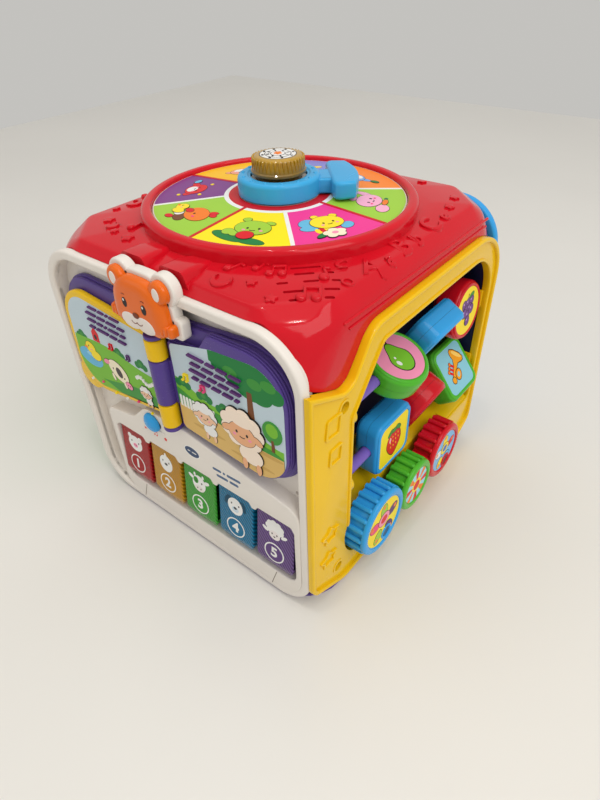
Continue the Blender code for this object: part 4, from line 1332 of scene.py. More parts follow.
def make_left_picture():
    art = Picture(lambda u, v, h: (u, LEAF_FRONT - 0.02 - h, v))
    sheet = inset(counterclockwise(rounded(LEFT_PAGE, 18)), 5.0)
    art.tile(sheet, PALE_SKY)
    for u in (-98, -52, -26):
        bush(art, u, 176, 6.0)
    art.tile(band(sheet, lambda u: 0, lambda u: 178 - 0.06 * (u + 108) + 2.0 * math.sin(u / 14)), GRASS)
    art.tile(band(sheet, lambda u: 0, lambda u: 146 + 6.0 * math.sin((u + 60) / 22)), DEEP_GRASS)
    art.tile(band(sheet, lambda u: 0, lambda u: 137 + 4.0 * math.sin((u + 20) / 15)), GRASS)
    art.blob(-93, 158, 15, 8.5, POOL)
    art.blob(-90, 161, 8, 2.2, ink(150, 210, 236))
    art.tile([(-82, 178), (-74, 178), (-74, 186), (-78, 191), (-82, 186)], SCARLET)
    art.blob(-78, 182, 1.8, 2.4, INK)
    chick(art, -90, 168, 1.5)
    cow(art, -58, 158, 1.35)
    sheep(art, -27, 151, 0.9)
    for k in range(9):
        art.blob(-34 + 2.6 * k, 163 + 2.0 * math.sin(k), 1.5, 1.7, SNOW)
    note_shape(art, -62, 178, 1.0, SCARLET)
    note_shape(art, -42, 176, 0.9, PLUM)
    for k in range(6):
        art.blob(-100 + 15 * k, 134 + 3 * math.sin(2 * k), 1.1, 1.1, (SNOW, ROSE, LEMON)[k % 3])
    rows = [(10, 7, 3, 11), (12, 9, 11, 8), (10, 7, 3, 12, 6), (7, 14, 8, 9)]
    art.lines_of_words(-58, 209, rows, 5.8, 1.6, PLUM, lean=-2)
    art.finish("left_picture", "page_yellow", "white_plastic")


def make_right_picture():
    art = Picture(lambda u, v, h: (u, LEAF_FRONT - 0.02 - h, v))
    corners = ((12.5, 211, 4), (12.5, 139, 4), (110, 130.5, 27), (110.5, 226, 25), (52, 221, 16))
    sheet = counterclockwise(rounded(corners, 18))
    art.tile(sheet, PALE_SKY)
    art.tile(band(sheet, lambda u: 205 - 9 * math.cos((u - 84) / 13) if abs(u - 84) < 34 else 400, lambda u: 400), LEAF)
    for u, v, r in ((60, 212, 8), (74, 206, 9), (92, 204, 10), (103, 208, 8)):
        art.blob(u, v, r, r * 0.8, LEAF)
    for u, v in ((68, 211), (88, 210), (99, 213)):
        art.blob(u, v, 6, 4, DEEP_GRASS)
    art.tile([(80, 178), (86, 178), (85, 202), (81, 202)], BARK)
    art.tile(band(sheet, lambda u: 0, lambda u: 182 - 0.16 * (u - 14) + 2.5 * math.sin(u / 9)), GRASS)
    for u in (20, 40, 58):
        bush(art, u, 184 - 0.16 * u, 6.5)
    art.tile(band(sheet, lambda u: 0, lambda u: 174 - 0.16 * (u - 14) + 1.5 * math.sin(u / 7)), DEEP_GRASS)
    art.tile(band(sheet, lambda u: 0, lambda u: 160 + 2.0 * math.sin(u / 20)), SAND)
    for u, v, ru in ((40, 148, 16), (80, 142, 20), (96, 156, 12)):
        art.blob(u, v, ru, 1.6, ink(204, 164, 88))
    for k in range(11):
        art.tile(rounded(((14 + 3.2 * k, 160, 0), (16.4 + 3.2 * k, 160, 0), (16.4 + 3.2 * k, 170, 1), (14 + 3.2 * k, 170, 1)), 3), SNOW)
    art.blob(100, 178, 8, 9, DEEP_GRASS)
    art.blob(100, 180, 5, 5.6, GRASS)
    art.tile([(98.8, 162), (101.2, 162), (101, 172), (99, 172)], BARK)
    sheep(art, 38, 162, 1.55)
    sheep(art, 74, 168, 2.5, ink(250, 232, 214), ink(236, 176, 132))
    note_shape(art, 22, 186, 1.1, LEMON)
    note_shape(art, 38, 184, 1.0, ROSE)
    rows = [(15, 8, 9, 10), (9, 10, 9, 10), (15, 8, 9, 9), (6, 9, 8, 9, 4)]
    art.lines_of_words(54, 209, rows, 5.8, 1.7, PLUM, lean=-2)
    art.finish("right_picture", "page_purple", "white_plastic")


# ---------------------------------------------------------------- piano keys

KEY_COLOURS = {
    1: ink(170, 22, 26),
    2: ink(196, 140, 20),
    3: ink(56, 160, 44),
    4: ink(12, 116, 158),
    5: ink(98, 66, 130),
}
FACE_TOP = Vector((-129.9, 94.0))
FACE_FOOT = Vector((-135.5, 42.0))
RIB_PITCH = 0.0034


def key_plastic(number):
    """Clear tinted plastic with fine slanted ribs on its inside; the ribs are drawn as painted light and shade, dark
    and bright stripes in the colour, with matching roughness and bumps.
    """
    finish = Finish(f"key_{number}_clear_plastic")
    colour = KEY_COLOURS[number]
    place = finish.node("SeparateXYZ", Vector=finish.place())
    x = Value(finish.tree, place.socket.node.outputs[0])
    y = Value(finish.tree, place.socket.node.outputs[1])
    z = Value(finish.tree, place.socket.node.outputs[2])
    ribs_with_painted_light = ((x + y * 0.6 + z * 0.72) * (2 * math.pi / RIB_PITCH)).sine() * 0.5 + 0.5
    cloud = finish.noise(34.0, 2.0)
    # Painted light and shade: the rib stripes run from 0.4 to 1.35 of the key's colour, standing for light through
    # clear ribbed plastic.
    body = finish.tint(shade(colour, 0.4), shade(colour, 1.35), ribs_with_painted_light * 0.8 + cloud * 0.2)
    finish.set(Base_Color=body, Roughness=0.16 + ribs_with_painted_light * 0.12, Normal=finish.relief(ribs_with_painted_light, 0.0003))
    finish.set(Coat_Weight=0.15, Coat_Roughness=0.05, IOR=1.5, Specular_IOR_Level=SHEEN)
    return finish.material


def make_key(number):
    x = key_x(number)
    top = KEY_PIVOT_Z + 3
    profile = rounded(
        ((-114, KEY_BOTTOM, 2), (-114, top, 2), (-129.8, top, 1.5), (-129.9, 94, 3), (-135.5, 42, 9), (-131.5, KEY_BOTTOM, 6)), 8
    )
    half = KEY_WIDTH / 2
    body = slab(counterclockwise(profile), x - half, x + half, "X", 1.6, 4)
    corners = ((x - half, KEY_BOTTOM, 14), (x + half, KEY_BOTTOM, 14), (x + half, top, 3), (x - half, top, 3))
    front = slab(rounded(corners, 12), -140, -110, "Y")
    body = combine(body, "INTERSECT", [front])
    body = cut(body, drum(1.9, x - 20, x + 20, "X", (-122, KEY_PIVOT_Z), 0, 20))
    body = softened(body, 0.9, 3, 40)
    put(body, f"key_cap_{number}", f"key_{number}", key_plastic(number), [f"key_{number}"], sharp=40)
    down = (FACE_FOOT - FACE_TOP).normalized()
    out = Vector((down.y, -down.x))
    if out.x > 0:
        out = -out
    middle = (FACE_TOP + FACE_FOOT) / 2

    def on_face(u, v, h):
        at = middle - down * v + out * (h + 0.04)
        return (x + u, at.x, at.y)

    art = Picture(on_face)
    animals = (piglet_sign, chick_sign, calf_sign, puppy_sign, lamb_sign)
    animals[number - 1](art, 0, 7.4, KEY_COLOURS[number])
    ring_middle = -15.2
    art.blob(0, ring_middle, 9.6, 9.6, SNOW, steps=40)
    art.blob(0, ring_middle, 8.5, 8.5, shade(KEY_COLOURS[number], 0.9), steps=40)
    art.finish(f"key_sign_{number}", f"key_{number}", "white_plastic")
    numeral = raised_letter(str(number), 13.5, 0.24, 0.05, 0.45)
    basis = Matrix.Identity(4)
    basis.col[0].xyz = (1, 0, 0)
    basis.col[1].xyz = (0, -down.x, -down.y)
    basis.col[2].xyz = (0, out.x, out.y)
    basis.translation = Vector(on_face(0, ring_middle, 0.1)) * MM
    paint = moulded("numeral_white_paint", SNOW, 0.35)
    put(placed(numeral, basis), f"key_numeral_{number}", f"key_{number}", paint)


def piglet_sign(art, u, v, tint):
    for side in (-1, 1):
        art.blob(u + side * 6.4, v + 6.2, 2.6, 3.0, SNOW, side * -30)
    art.blob(u, v, 9.0, 8.0, SNOW)
    art.blob(u, v - 2.0, 3.0, 2.2, PINK)
    for side in (-1, 1):
        art.blob(u + side * 1.0, v - 2.0, 0.45, 0.8, INK)
        art.blob(u + side * 4.6, v + 1.6, 0.7, 0.9, INK)


def chick_sign(art, u, v, tint):
    art.blob(u, v + 7.6, 1.3, 2.6, SNOW, 12)
    art.blob(u, v - 1.0, 7.8, 8.6, SNOW)
    art.blob(u, v - 1.6, 1.9, 1.3, INK)
    for side in (-1, 1):
        art.blob(u + side * 3.8, v + 1.2, 0.7, 0.9, INK)


def calf_sign(art, u, v, tint):
    for side in (-1, 1):
        art.blob(u + side * 8.6, v + 4.4, 3.4, 1.8, SNOW, side * 24)
        art.blob(u + side * 4.6, v + 8.4, 1.2, 1.9, SNOW)
    art.blob(u, v, 7.4, 8.4, SNOW)
    art.blob(u - 3.4, v + 2.6, 2.8, 3.4, shade(tint, 0.8))
    art.blob(u, v - 5.0, 5.4, 3.2, ink(232, 226, 220))
    for side in (-1, 1):
        art.blob(u + side * 1.9, v - 5.0, 0.6, 0.8, INK)
        art.blob(u + side * 3.2, v + 1.4, 0.7, 0.9, INK)


def puppy_sign(art, u, v, tint):
    for side in (-1, 1):
        art.blob(u + side * 8.0, v + 3.6, 2.8, 5.4, shade(tint, 0.35), side * 24)
    art.blob(u, v, 7.8, 8.4, SNOW)
    art.blob(u, v - 3.0, 3.6, 2.8, ink(206, 222, 232))
    art.blob(u, v - 1.8, 1.7, 1.2, INK)
    for side in (-1, 1):
        art.blob(u + side * 3.8, v + 2.0, 0.7, 0.9, INK)


def lamb_sign(art, u, v, tint):
    for side in (-1, 1):
        art.blob(u + side * 9.0, v - 1.6, 3.2, 1.6, SNOW, side * 30)
    for k in range(9):
        angle = math.radians(20 + 40 * k)
        art.blob(u + 6.0 * math.cos(angle), v + 3.2 + 4.6 * math.sin(angle), 3.0, 3.0, SNOW)
    art.blob(u, v + 2.6, 6.4, 5.0, SNOW)
    art.blob(u, v - 4.0, 5.2, 4.4, ink(236, 228, 226))
    for side in (-1, 1):
        art.blob(u + side * 2.3, v - 3.0, 0.65, 0.85, INK)
    art.blob(u, v - 5.6, 1.0, 0.6, INK)


def make_mode_switch():
    dome = [(0, 138.6)] + [(8.7 * math.sin(a), 134.6 + 4.0 * math.cos(a)) for a in [math.pi / 2 * k / 10 for k in range(1, 11)]]
    head = turned(dome + [(8.7, 133.95), (0, 133.95)], 56, (SWITCH_X, SWITCH_Z), "Y")
    stem = block((SWITCH_X - 3, -134.4, SWITCH_Z - 3), (SWITCH_X + 3, -114, SWITCH_Z + 3), 0.4)
    material = moulded("switch_blue_plastic", BLUE, 0.25)
    put(together([head, stem]), "switch_knob", "mode_switch", material, ["mode_switch"], sharp=40)


# ---------------------------------------------------------------- side and back panels


def corner_rebates(side):
    """Boxes that free the front and back trays' edges from a side panel; the left one stops behind them."""
    edges = []
    reach = HALF_WIDTH + 0.3 if side > 0 else SIDE_LIP + 5
    for end in (-1, 1):
        xs = sorted((side * 110, side * reach))
        ys = sorted((end * (HALF_DEPTH - RIM_DEPTH - 0.3), end * (HALF_DEPTH + 5)))
        edges.append(block((xs[0], ys[0], -5), (xs[1], ys[1], 260)))
    return edges


def gear_pockets(grow=3.6, floor=POCKET_FLOOR):
    return [drum(gear_radius(teeth) + grow, floor, 150, "X", centre) for teeth, centre, _ in gear_layout().values()]


def raised_frame(outline, inner, x, rise):
    """A soft raised line between two outlines on the side panel's face."""
    return slab([outline, inner], x - 0.6, x + rise, "X", 0.5, 3)


def bay_ramp():
    low, high = BAY_FRONT - 1, BAY_REAR + 1
    return slab(rounded(((80, 72, 0), (126, 56, 1), (127.4, 59, 1), (80, 75, 0)), 4), low, high, "Y")


def make_right_panel():
    outline = side_outline()
    bay = bay_outline(BAY_RIDGE)
    face = [inset(outline, 1.0), bay]
    lower = slab(box_outline(-100, 10, 92, BAY_RIDGE - 1.3, 20), POCKET_FLOOR - 3, SIDE_INNER + 1, "X")
    shells = [
        slab(face, SIDE_INNER, SIDE_FACE, "X", 0.9, 3),
        slab([outline, inset(outline, 3.8)], SIDE_INNER, SIDE_LIP, "X", 1.5, 4),
        slab([bay_outline(BAY_RIDGE - 2.6, 2.6, 8), bay], SIDE_INNER, SIDE_FACE + 1.3, "X", 1.1, 4),
        cut(bay_ramp(), *gear_pockets()),
        lower,
    ]
    finished = []
    for number, shell in enumerate(shells):
        cutters = corner_rebates(1)
        if number != 3:
            cutters += gear_pockets()
        for y, z in SCREW_HOLES:
            cutters.append(drum(4.4, 110, 140, "X", (y, z)))
        finished.append(cut(shell, *cutters))
    for height in ROD_HEIGHTS.values():
        bore = drum(5.0, BAY_FRONT - 12, BAY_REAR + 1, "Y", (ROD_X, height))
        finished.append(cut(drum(8.5, BAY_FRONT - 5, BAY_FRONT + 8, "Y", (117.5, height), 1.2), bore))
        finished.append(block((105, BAY_REAR - 1.5, height - 8), (SIDE_INNER + 1.8, BAY_REAR + 0.4, height + 8), 0.3))
    for low, high in ((BAY_FRONT - 3, BAY_FRONT - 0.2), (BAY_REAR + 0.2, BAY_REAR + 3)):
        finished.append(block((79, low, 55), (SIDE_INNER + 1.4, high, 77), 0.3))
    for y, z in SCREW_HOLES:
        finished.append(turned([(6.2, 128.1), (4.4, 128.1), (4.4, 116), (6.2, 116)], 40, (y, z), "X"))
    for y, z, size in ((-108, 179, 9), (-105, 153, 8)):
        tilted = rounded([(y + size * a, z + size * b, 2.4) for a, b in ((-1, -0.8), (0.75, -1), (1, 0.9), (-0.8, 1))], 5)
        finished.append(raised_frame(tilted, inset(tilted, 2.2), SIDE_FACE, 1.3))
    for y, z in ((-110, 76), (-112, 50)):
        rim, hollow = [
            [(a, z + 0.76 * (b - z)) for a, b in rounded_star(y, z, radius, 0.58, 0.12)] for radius in (12, 8.6)
        ]
        finished.append(raised_frame(rim, hollow, SIDE_FACE, 1.5))
    above_ramp = slab(((70, 77.6), (135, 55.6), (135, 140), (70, 140)), BAY_FRONT - 30, BAY_REAR + 30, "Y")
    below = block((100, -120, 0), (140, 110, BAY_RIDGE - 3))
    cups = cut(slab(box_outline(-96, 20, 90, 90, 30), POCKET_FLOOR - 2.6, SIDE_FACE - 0.5, "X"), above_ramp, below)
    finished.append(cut(cups, *gear_pockets(3.3, POCKET_FLOOR + 0.3)))
    material = moulded("side_yellow_plastic", YELLOW, 0.17, coat=0.15)
    piece = together(finished)
    put(piece, "right_panel", BODY, material, ["side_panel_right"], sharp=36)


def make_left_panel():
    """The side away from the gears: the same rolled lip round a plain face with four raised signs."""
    outline = side_outline()
    shells = [
        slab(inset(outline, 1.0), -SIDE_FACE, -SIDE_INNER, "X", 0.8, 3),
        slab([outline, inset(outline, 4.6)], -SIDE_LIP, -SIDE_INNER, "X", 1.5, 4),
    ]
    finished = [cut(shell, *corner_rebates(-1)) for shell in shells]
    signs = (rounded_star(-52, 150, 26), rounded_star(58, 84, 25), arc(56, 158, 22, 0, 352, 44), box_outline(-72, 58, -32, 98, 9))
    for outline in signs:
        finished.append(slab([outline, inset(outline, 3.2)], -SIDE_FACE - 1.5, -SIDE_FACE + 0.6, "X", 0.6, 3))
    material = moulded("side_green_plastic", GREEN, 0.2)
    put(together(finished), "left_panel", BODY, material, ["side_panel_left"], sharp=36)


def make_back_panel():
    outline = front_outline()
    low = HALF_DEPTH - RIM_DEPTH
    shapes = [
        slab([outline, inset(outline, RIM_WIDTH)], low, HALF_DEPTH, "Y", 2.2, 5),
        slab(inset(outline, RIM_WIDTH - 1), low, low + 3, "Y", 0.3),
    ]
    for radius in (34, 58):
        ring = arc(0, 128, radius, 0, 355, 71)
        shapes.append(slab([ring, inset(ring, 3.2)], low + 2.5, low + 4.6, "Y", 0.8, 3))
    sign = rounded_star(0, 128, 22)
    shapes.append(slab([sign, inset(sign, 3)], low + 2.5, low + 4.6, "Y", 0.8, 3))
    material = moulded("back_blue_plastic", BLUE, 0.22)
    put(together(shapes), "back_tray", BODY, material, ["back_panel"], sharp=36)


# ---------------------------------------------------------------- spinning blocks

# name: (row, middle along Y, tilt of the picture face from +X up, round or square, colour, record's slot)
BLOCKS = {
    "block_pear": ("upper", -11.0, 66.0, "round", GREEN, "green_plastic"),
    "block_blue_upper": ("upper", 41.4, -31.0, "square", BLUE, "blue_plastic"),
    "block_grapes": ("upper", 94.0, 4.0, "round", RED, "red_plastic"),
    "block_berry": ("lower", -17.0, 0.0, "square", BLUE, "blue_plastic"),
    "block_red_lower": ("lower", 40.0, -25.0, "round", RED, "red_plastic"),
    "block_trumpet": ("lower", 94.5, 37.0, "square", GREEN, "green_plastic"),
}


def seamed_plastic(name, colour, roughness=0.2):
    """Moulded plastic with a fine parting line where the piece's own across value is nought."""
    if name in finishes:
        return finishes[name]
    finish = Finish(name)
    across = finish.node("Attribute", {"attribute_name": "across"}, output=2)
    line = across.size().below(0.16)
    drift = finish.noise(14.0, 3.0)
    haze = finish.noise(60.0, 4.0)
    base = finish.tint(shade(colour, 0.84), shade(colour, 1.06), drift)
    finish.set(Base_Color=finish.tint(base, shade(colour, 0.42), line * 0.8))
    finish.set(Roughness=roughness - 0.05 + haze * 0.1 + line * 0.2)
    finish.set(Normal=finish.relief(finish.noise(420.0, 2.0) * 0.12 - line, 0.00016))
    finish.set(Coat_Weight=0.12, Coat_Roughness=0.06, IOR=1.5, Specular_IOR_Level=SHEEN)
    finishes[name] = finish.material
    return finish.material


def block_turn(name):
    row, y, tilt = BLOCKS[name][:3]
    place = Vector((ROD_X, y, ROD_HEIGHTS[row])) * MM
    return Matrix.Translation(place) @ Matrix.Rotation(-math.radians(tilt), 4, "Y")


def block_outline(shape, shrink=0.0):
    half = BLOCK_SIZE / 2
    if shape == "round":
        return arc(0, 0, half + 0.5 - shrink, 0, 354, 59)
    return box_outline(-half + shrink, -half + shrink, half - shrink, half - shrink, 9 - shrink * 0.6, 10)


def pear_art(art):
    art.tile(pear_outline(0.9), INK)
    art.tile(pear_outline(0.0), ink(122, 196, 48))
    art.stroke([(1.5, 13.0), (2.6, 16.4), (5.4, 18.2)], 1.5, ink(60, 36, 20))
    art.blob(-5.2, -4.4, 1.7, 2.5, SNOW, 20)
    art.blob(-4.2, 0.6, 0.9, 1.1, SNOW)


def pear_outline(grow):
    points = []
    for k in range(48):
        angle = 2 * math.pi * k / 48
        waist = 1.0 - 0.42 / (1 + math.exp(-(math.sin(angle) - 0.25) * 7))
        points.append(((10.4 + grow) * waist * math.cos(angle), (13.2 + grow) * math.sin(angle) - 0.4))
    return points


def grapes_art(art):
    art.stroke([(0, 11), (1, 15.5)], 1.3, BARK)
    art.blob(6, 11.6, 5.4, 3.2, INK, 20)
    art.blob(6, 11.6, 5.0, 2.8, DEEP_GRASS, 20)
    rows = [(u, 7.4) for u in (-6.6, 0, 6.6)] + [(u, 1.6) for u in (-3.4, 3.4)] + [(0, -4), (-6.4, -0.4), (6.4, -0.4), (0, -9.4)]
    for u, v in rows:
        art.blob(u, v, 4.1, 4.1, ink(112, 62, 140), edge=0.5)
        art.blob(u - 1.3, v + 1.4, 1.0, 1.0, ink(196, 160, 214))


def berry_art(art):
    outline = []
    for k in range(44):
        angle = 2 * math.pi * k / 44
        width = 10.6 * (1 - 0.38 * max(-math.sin(angle), 0) ** 1.3)
        outline.append((width * math.cos(angle), 13.4 * math.sin(angle) - 2.0))
    art.tile([(u * 1.06, v * 1.06) for u, v in outline], INK)
    art.tile(outline, SCARLET)
    for u in (-6, 0, 6):
        art.blob(u, 10.6, 4.2, 2.1, DEEP_GRASS, u * -6, edge=0.4)
    for k in range(11):
        art.blob(-6 + 4 * (k % 4) + (k // 4) * 0.8, 4.5 - 5 * (k // 4), 0.55, 0.9, LEMON)
    art.blob(-6.0, 3.0, 1.2, 2.6, ink(250, 190, 190), -10)


def trumpet_art(art):
    gold = ink(244, 164, 30)

    def at(along, across):
        return ((along - across) * 0.7071, (along + across) * 0.7071)

    half = [(2, 2.2), (6.5, 3.8), (9.5, 8.4), (12, 10.2), (14.5, 9.4), (16.2, 4.5)]
    bell = [at(along, -across) for along, across in half] + [at(*point) for point in reversed(half)]
    art.tile(inset(bell, -0.8), INK)
    art.stroke([at(5, 0), at(-12, 0)], 6.2, INK)
    art.tile(bell, gold)
    art.stroke([at(5, 0), at(-11.6, 0)], 4.8, gold)
    art.blob(*at(-12.6, 0), 3.0, 3.0, gold, edge=0.7)
    for k in range(3):
        along = -7.6 + k * 3.8
        art.stroke([at(along, 1.8), at(along, 7.4)], 2.4, SCARLET)
        art.blob(*at(along, 8.4), 1.7, 1.5, TANGERINE, 45, edge=0.4)
    art.blob(*at(-4.6, -5.2), 5.2, 4.0, gold, 45, edge=0.7)
    art.blob(*at(-4.6, -5.2), 2.8, 1.8, ink(150, 208, 224), 45)
    art.blob(*at(13.4, 0), 1.9, 7.4, ink(255, 214, 110), 45)


BLOCK_ART = {
    "block_pear": (pear_art, ink(246, 150, 186)),
    "block_blue_upper": (trumpet_art, LEMON),
    "block_grapes": (grapes_art, LEMON),
    "block_berry": (berry_art, LEMON),
    "block_red_lower": (grapes_art, POOL),
    "block_trumpet": (trumpet_art, ink(140, 204, 222)),
}


def make_block(name):
    shape, colour, slot = BLOCKS[name][3:]
    half = BLOCK_THICK / 2
    core = slab(block_outline(shape), -half + 0.7, half - 0.7, "X", 3.4, 5)
    core = cut(core, drum(5.2, -40, 40, "Y"))
    rims = []
    for side in (-1, 1):
        faces = sorted((side * (half - 5.2), side * half))
        rims.append(slab([block_outline(shape, 1.3), block_outline(shape, 5.0)], *faces, "X", 1.6, 4))
    whole = together([core, *rims])
    across = whole.data.attributes.new("across", "FLOAT", "POINT")
    across.data.foreach_set("value", [vertex.co.x / MM for vertex in whole.data.vertices])
    turn = block_turn(name)
    placed(whole, turn)
    material = seamed_plastic(f"block_{slot}", colour)
    put(whole, name + "_body", name, material, [name], sharp=40)
    draw, ground = BLOCK_ART[name]
    for side in (-1, 1):
        def on_face(u, v, h, side=side):
            at = turn @ (Vector((side * (half - 0.64 + h), side * u, v)) * MM)
            return at / MM

        art = Picture(on_face)
        art.tile(block_outline(shape, 4.8), ground)
        draw(art)
        art.finish(f"{name}_sheet_{'front' if side > 0 else 'back'}", name, slot)


def make_bay_shadow_pieces():
    """The lilac rods that the blocks spin on, each its own piece with a moulded finish."""
    for row in ROD_HEIGHTS:
        rod = drum(4.7, BAY_FRONT - 8.5, BAY_REAR - 0.3, "Y", (ROD_X, ROD_HEIGHTS[row]), 0.8)
        material = moulded("rod_lilac_plastic", LILAC, 0.28)
        put(rod, f"rod_{row}", BODY, material, [f"block_rod_{row}"], sharp=40)


# ---------------------------------------------------------------- gears


def gear_art(art, name, radius):
    grounds = {"blue": LEMON, "green": ink(166, 222, 240), "red": ink(130, 190, 236)}
    art.blob(0, 0, radius, radius, grounds[name], steps=48)
    if name == "green":
        for k in range(8):
            wedge = [(0, 0)] + arc(0, 0, radius, 45 * k - 11, 45 * k + 11, 6)
            art.tile(wedge, (SCARLET, TANGERINE)[k % 2])
        art.blob(0, 0, radius * 0.42, radius * 0.42, LEMON)
        art.blob(0, 0, radius * 0.3, radius * 0.3, SCARLET)
        return
    for k in range(5):
        angle = math.radians(72 * k + 20)
        u, v = radius * 0.6 * math.cos(angle), radius * 0.6 * math.sin(angle)
        lobes = (PLUM, LIME, ROSE, LIME, PLUM) if name == "blue" else (SCARLET, LEMON, SNOW, LEMON, POOL)
        art.blob(u, v, radius * 0.3, radius * 0.2, lobes[k], math.degrees(angle), edge=0.4)
        art.blob(u * 1.25, v * 1.25, radius * 0.09, radius * 0.09, TANGERINE)
    art.blob(0, radius * 0.16, radius * 0.34, radius * 0.3, PINK if name == "blue" else LEMON, edge=0.4)
    art.blob(0, radius * 0.16, radius * 0.2, radius * 0.17, SCARLET if name == "blue" else ink(70, 110, 190))


def finger_hole(name, teeth, centre):
    return centre + Vector((0.3, -1)).normalized() * gear_radius(teeth) * 0.56


def make_gears(tree):
    colours = {"blue": BLUE, "green": GREEN, "red": RED}
    for name, (teeth, centre, first) in gear_layout().items():
        body = f"gear_{name}"
        back = GEAR_BACK - 6.5
        root = gear_radius(teeth) - 2.2
        rim = gear_radius(teeth) + 0.2
        material = moulded(f"gear_{name}_plastic", colours[name], 0.2, coat=0.15)
        profile = [(0, GEAR_FACE - 1.1), (root - 3.6, GEAR_FACE - 1.1)]
        profile += arc(root - 2.2, GEAR_FACE - 1.4, 1.4, 180, 90, 5)
        profile += arc(rim - 2.6, GEAR_FACE - 2.6, 2.6, 90, 0, 7)
        profile += [(rim, GEAR_FACE - 3.6), (root, GEAR_FACE - 4.6), (root, back), (9, back), (9, 118.3), (0, 118.3)]
        wheel = turned(profile, 120, centre, "X")
        cutters = [drum(4.4, POCKET_FLOOR, GEAR_FACE - 5, "X", centre)]
        if name != "green":
            cutters.append(drum(5, GEAR_FACE - 10, GEAR_FACE + 2, "X", finger_hole(name, teeth, centre), 0, 48))
        wheel = cut(wheel, *cutters)
        length = GEAR_FACE - 5.2 - back
        ribs = rib_ring(
            tree, teeth, gear_radius(teeth) - 1.0, 2.2, length, first, "X", centre, back + length / 2, material
        )
        parts = [wheel, ribs]
        if name != "green":
            hole = finger_hole(name, teeth, centre)
            parts.append(turned([(7.2, GEAR_FACE - 3), *arc(6.2, GEAR_FACE - 1, 1.0, 0, 180, 6), (5.2, GEAR_FACE - 3)], 48, hole, "X"))
        put(together(parts), f"gear_{name}_wheel", body, material, [body], sharp=36)

        def on_gear(u, v, h, centre=centre):
            return (GEAR_FACE - 1.04 + h, centre.x + u, centre.y + v)

        art = Picture(on_gear)
        gear_art(art, name, root - 4.2)
        sheet = art.finish(f"gear_{name}_sheet", body, f"{name}_plastic")
        if name != "green":
            hole = finger_hole(name, teeth, centre)
            hole_shade = Picture(on_gear)
            # Painted shade: the finger hole's dark inside is a flat disc at 0.28 of the gear's colour, laid over the
            # hole in a ring of the gear's own colour.
            hole_shade.height = art.height
            hole_shade.blob(*(hole - centre), 6.2, 6.2, colours[name], steps=40)
            hole_shade.blob(*(hole - centre), 4.9, 4.9, shade(colours[name], 0.28), steps=40)
            hole_shade.finish(f"gear_{name}_finger_hole", body, f"{name}_plastic")


# ---------------------------------------------------------------- dial, pointer and light button


def dial_height(radius):
    """The disc is flat round the hub and falls away a little to its edge."""
    fall = max(radius - CROWN_RADIUS, 0) / (DISC_RADIUS - CROWN_RADIUS)
    return DISC_CROWN - (DISC_CROWN - DISC_EDGE) * fall


def make_dial():
    profile = [(21, DISC_CROWN), (CROWN_RADIUS, DISC_CROWN), (DISC_RADIUS - 0.6, DISC_EDGE), (DISC_RADIUS, DISC_EDGE - 0.6)]
    disc = turned(profile + [(DISC_RADIUS, 259.3), (21, 259.3)], 160)
    material = moulded("dial_white_plastic", WHITE, 0.3)
    put(disc, "dial_base", BODY, material, ["dial_disc"])


# First angle of each 45 degree sector, its ground and the animal on it.
SECTORS = (
    (-135, ink(160, 208, 64), hen),
    (-90, ink(252, 232, 20), caterpillar),
    (-45, ink(240, 58, 150), bee),
    (0, ink(160, 208, 64), rabbit),
    (45, ink(250, 138, 50), None),
    (90, ink(134, 142, 214), None),
    (135, ink(252, 196, 24), None),
    (180, ink(128, 62, 138), None),
)


def make_dial_picture():
    for number, (start, ground, draw) in enumerate(SECTORS, 1):
        middle = math.radians(start + 22.5)

        def polar(u, v, h):
            """u is an angle in degrees and v a radius."""
            return (v * math.cos(math.radians(u)), v * math.sin(math.radians(u)), dial_height(v) + 0.02 + h)

        wedge = Picture(polar, 0.02)
        for k in range(15):
            wedge.tile([(start + 3 * k, 40), (start + 3 * k + 3, 40), (start + 3 * k + 3, 93.4), (start + 3 * k, 93.4)], ground)
            wedge.height -= wedge.step
        wedge.finish(f"dial_sector_{number}", BODY, "white_plastic")

        def upright(u, v, h):
            reach = 67.5 - v
            x = reach * math.cos(middle) - u * math.sin(middle)
            y = reach * math.sin(middle) + u * math.cos(middle)
            return (x, y, dial_height(math.hypot(x, y)) + 0.06 + h)

        art = Picture(upright, 0.022)
        if draw:
            draw(art, 3 if draw is hen else 0, 0, 1.6 if draw is hen else 1.8)
            if draw is hen:
                chick(art, -17, -3, 1.25)
        elif number == 5:
            bird(art, 3, -1, 1.5, ink(120, 170, 226), SNOW)
            art.blob(-14, -9, 3.4, 2.2, LEAF, 20, edge=0.4)
        elif number == 6:
            bird(art, 0, 0, 1.5, ink(250, 214, 90), SNOW)
        elif number == 7:
            bird(art, 0, 0, 1.5, ink(244, 166, 140), SNOW)
        else:
            bird(art, 1, 0, 1.6, SCARLET, SNOW)
            art.blob(-17, -6, 4.0, 2.6, POOL, -10, edge=0.4)
            for u, v in ((14, -9), (-10, 9), (13, 8)):
                art.blob(u, v, 1.6, 1.4, LEMON)
        art.finish(f"dial_art_{number}", BODY, "white_plastic")


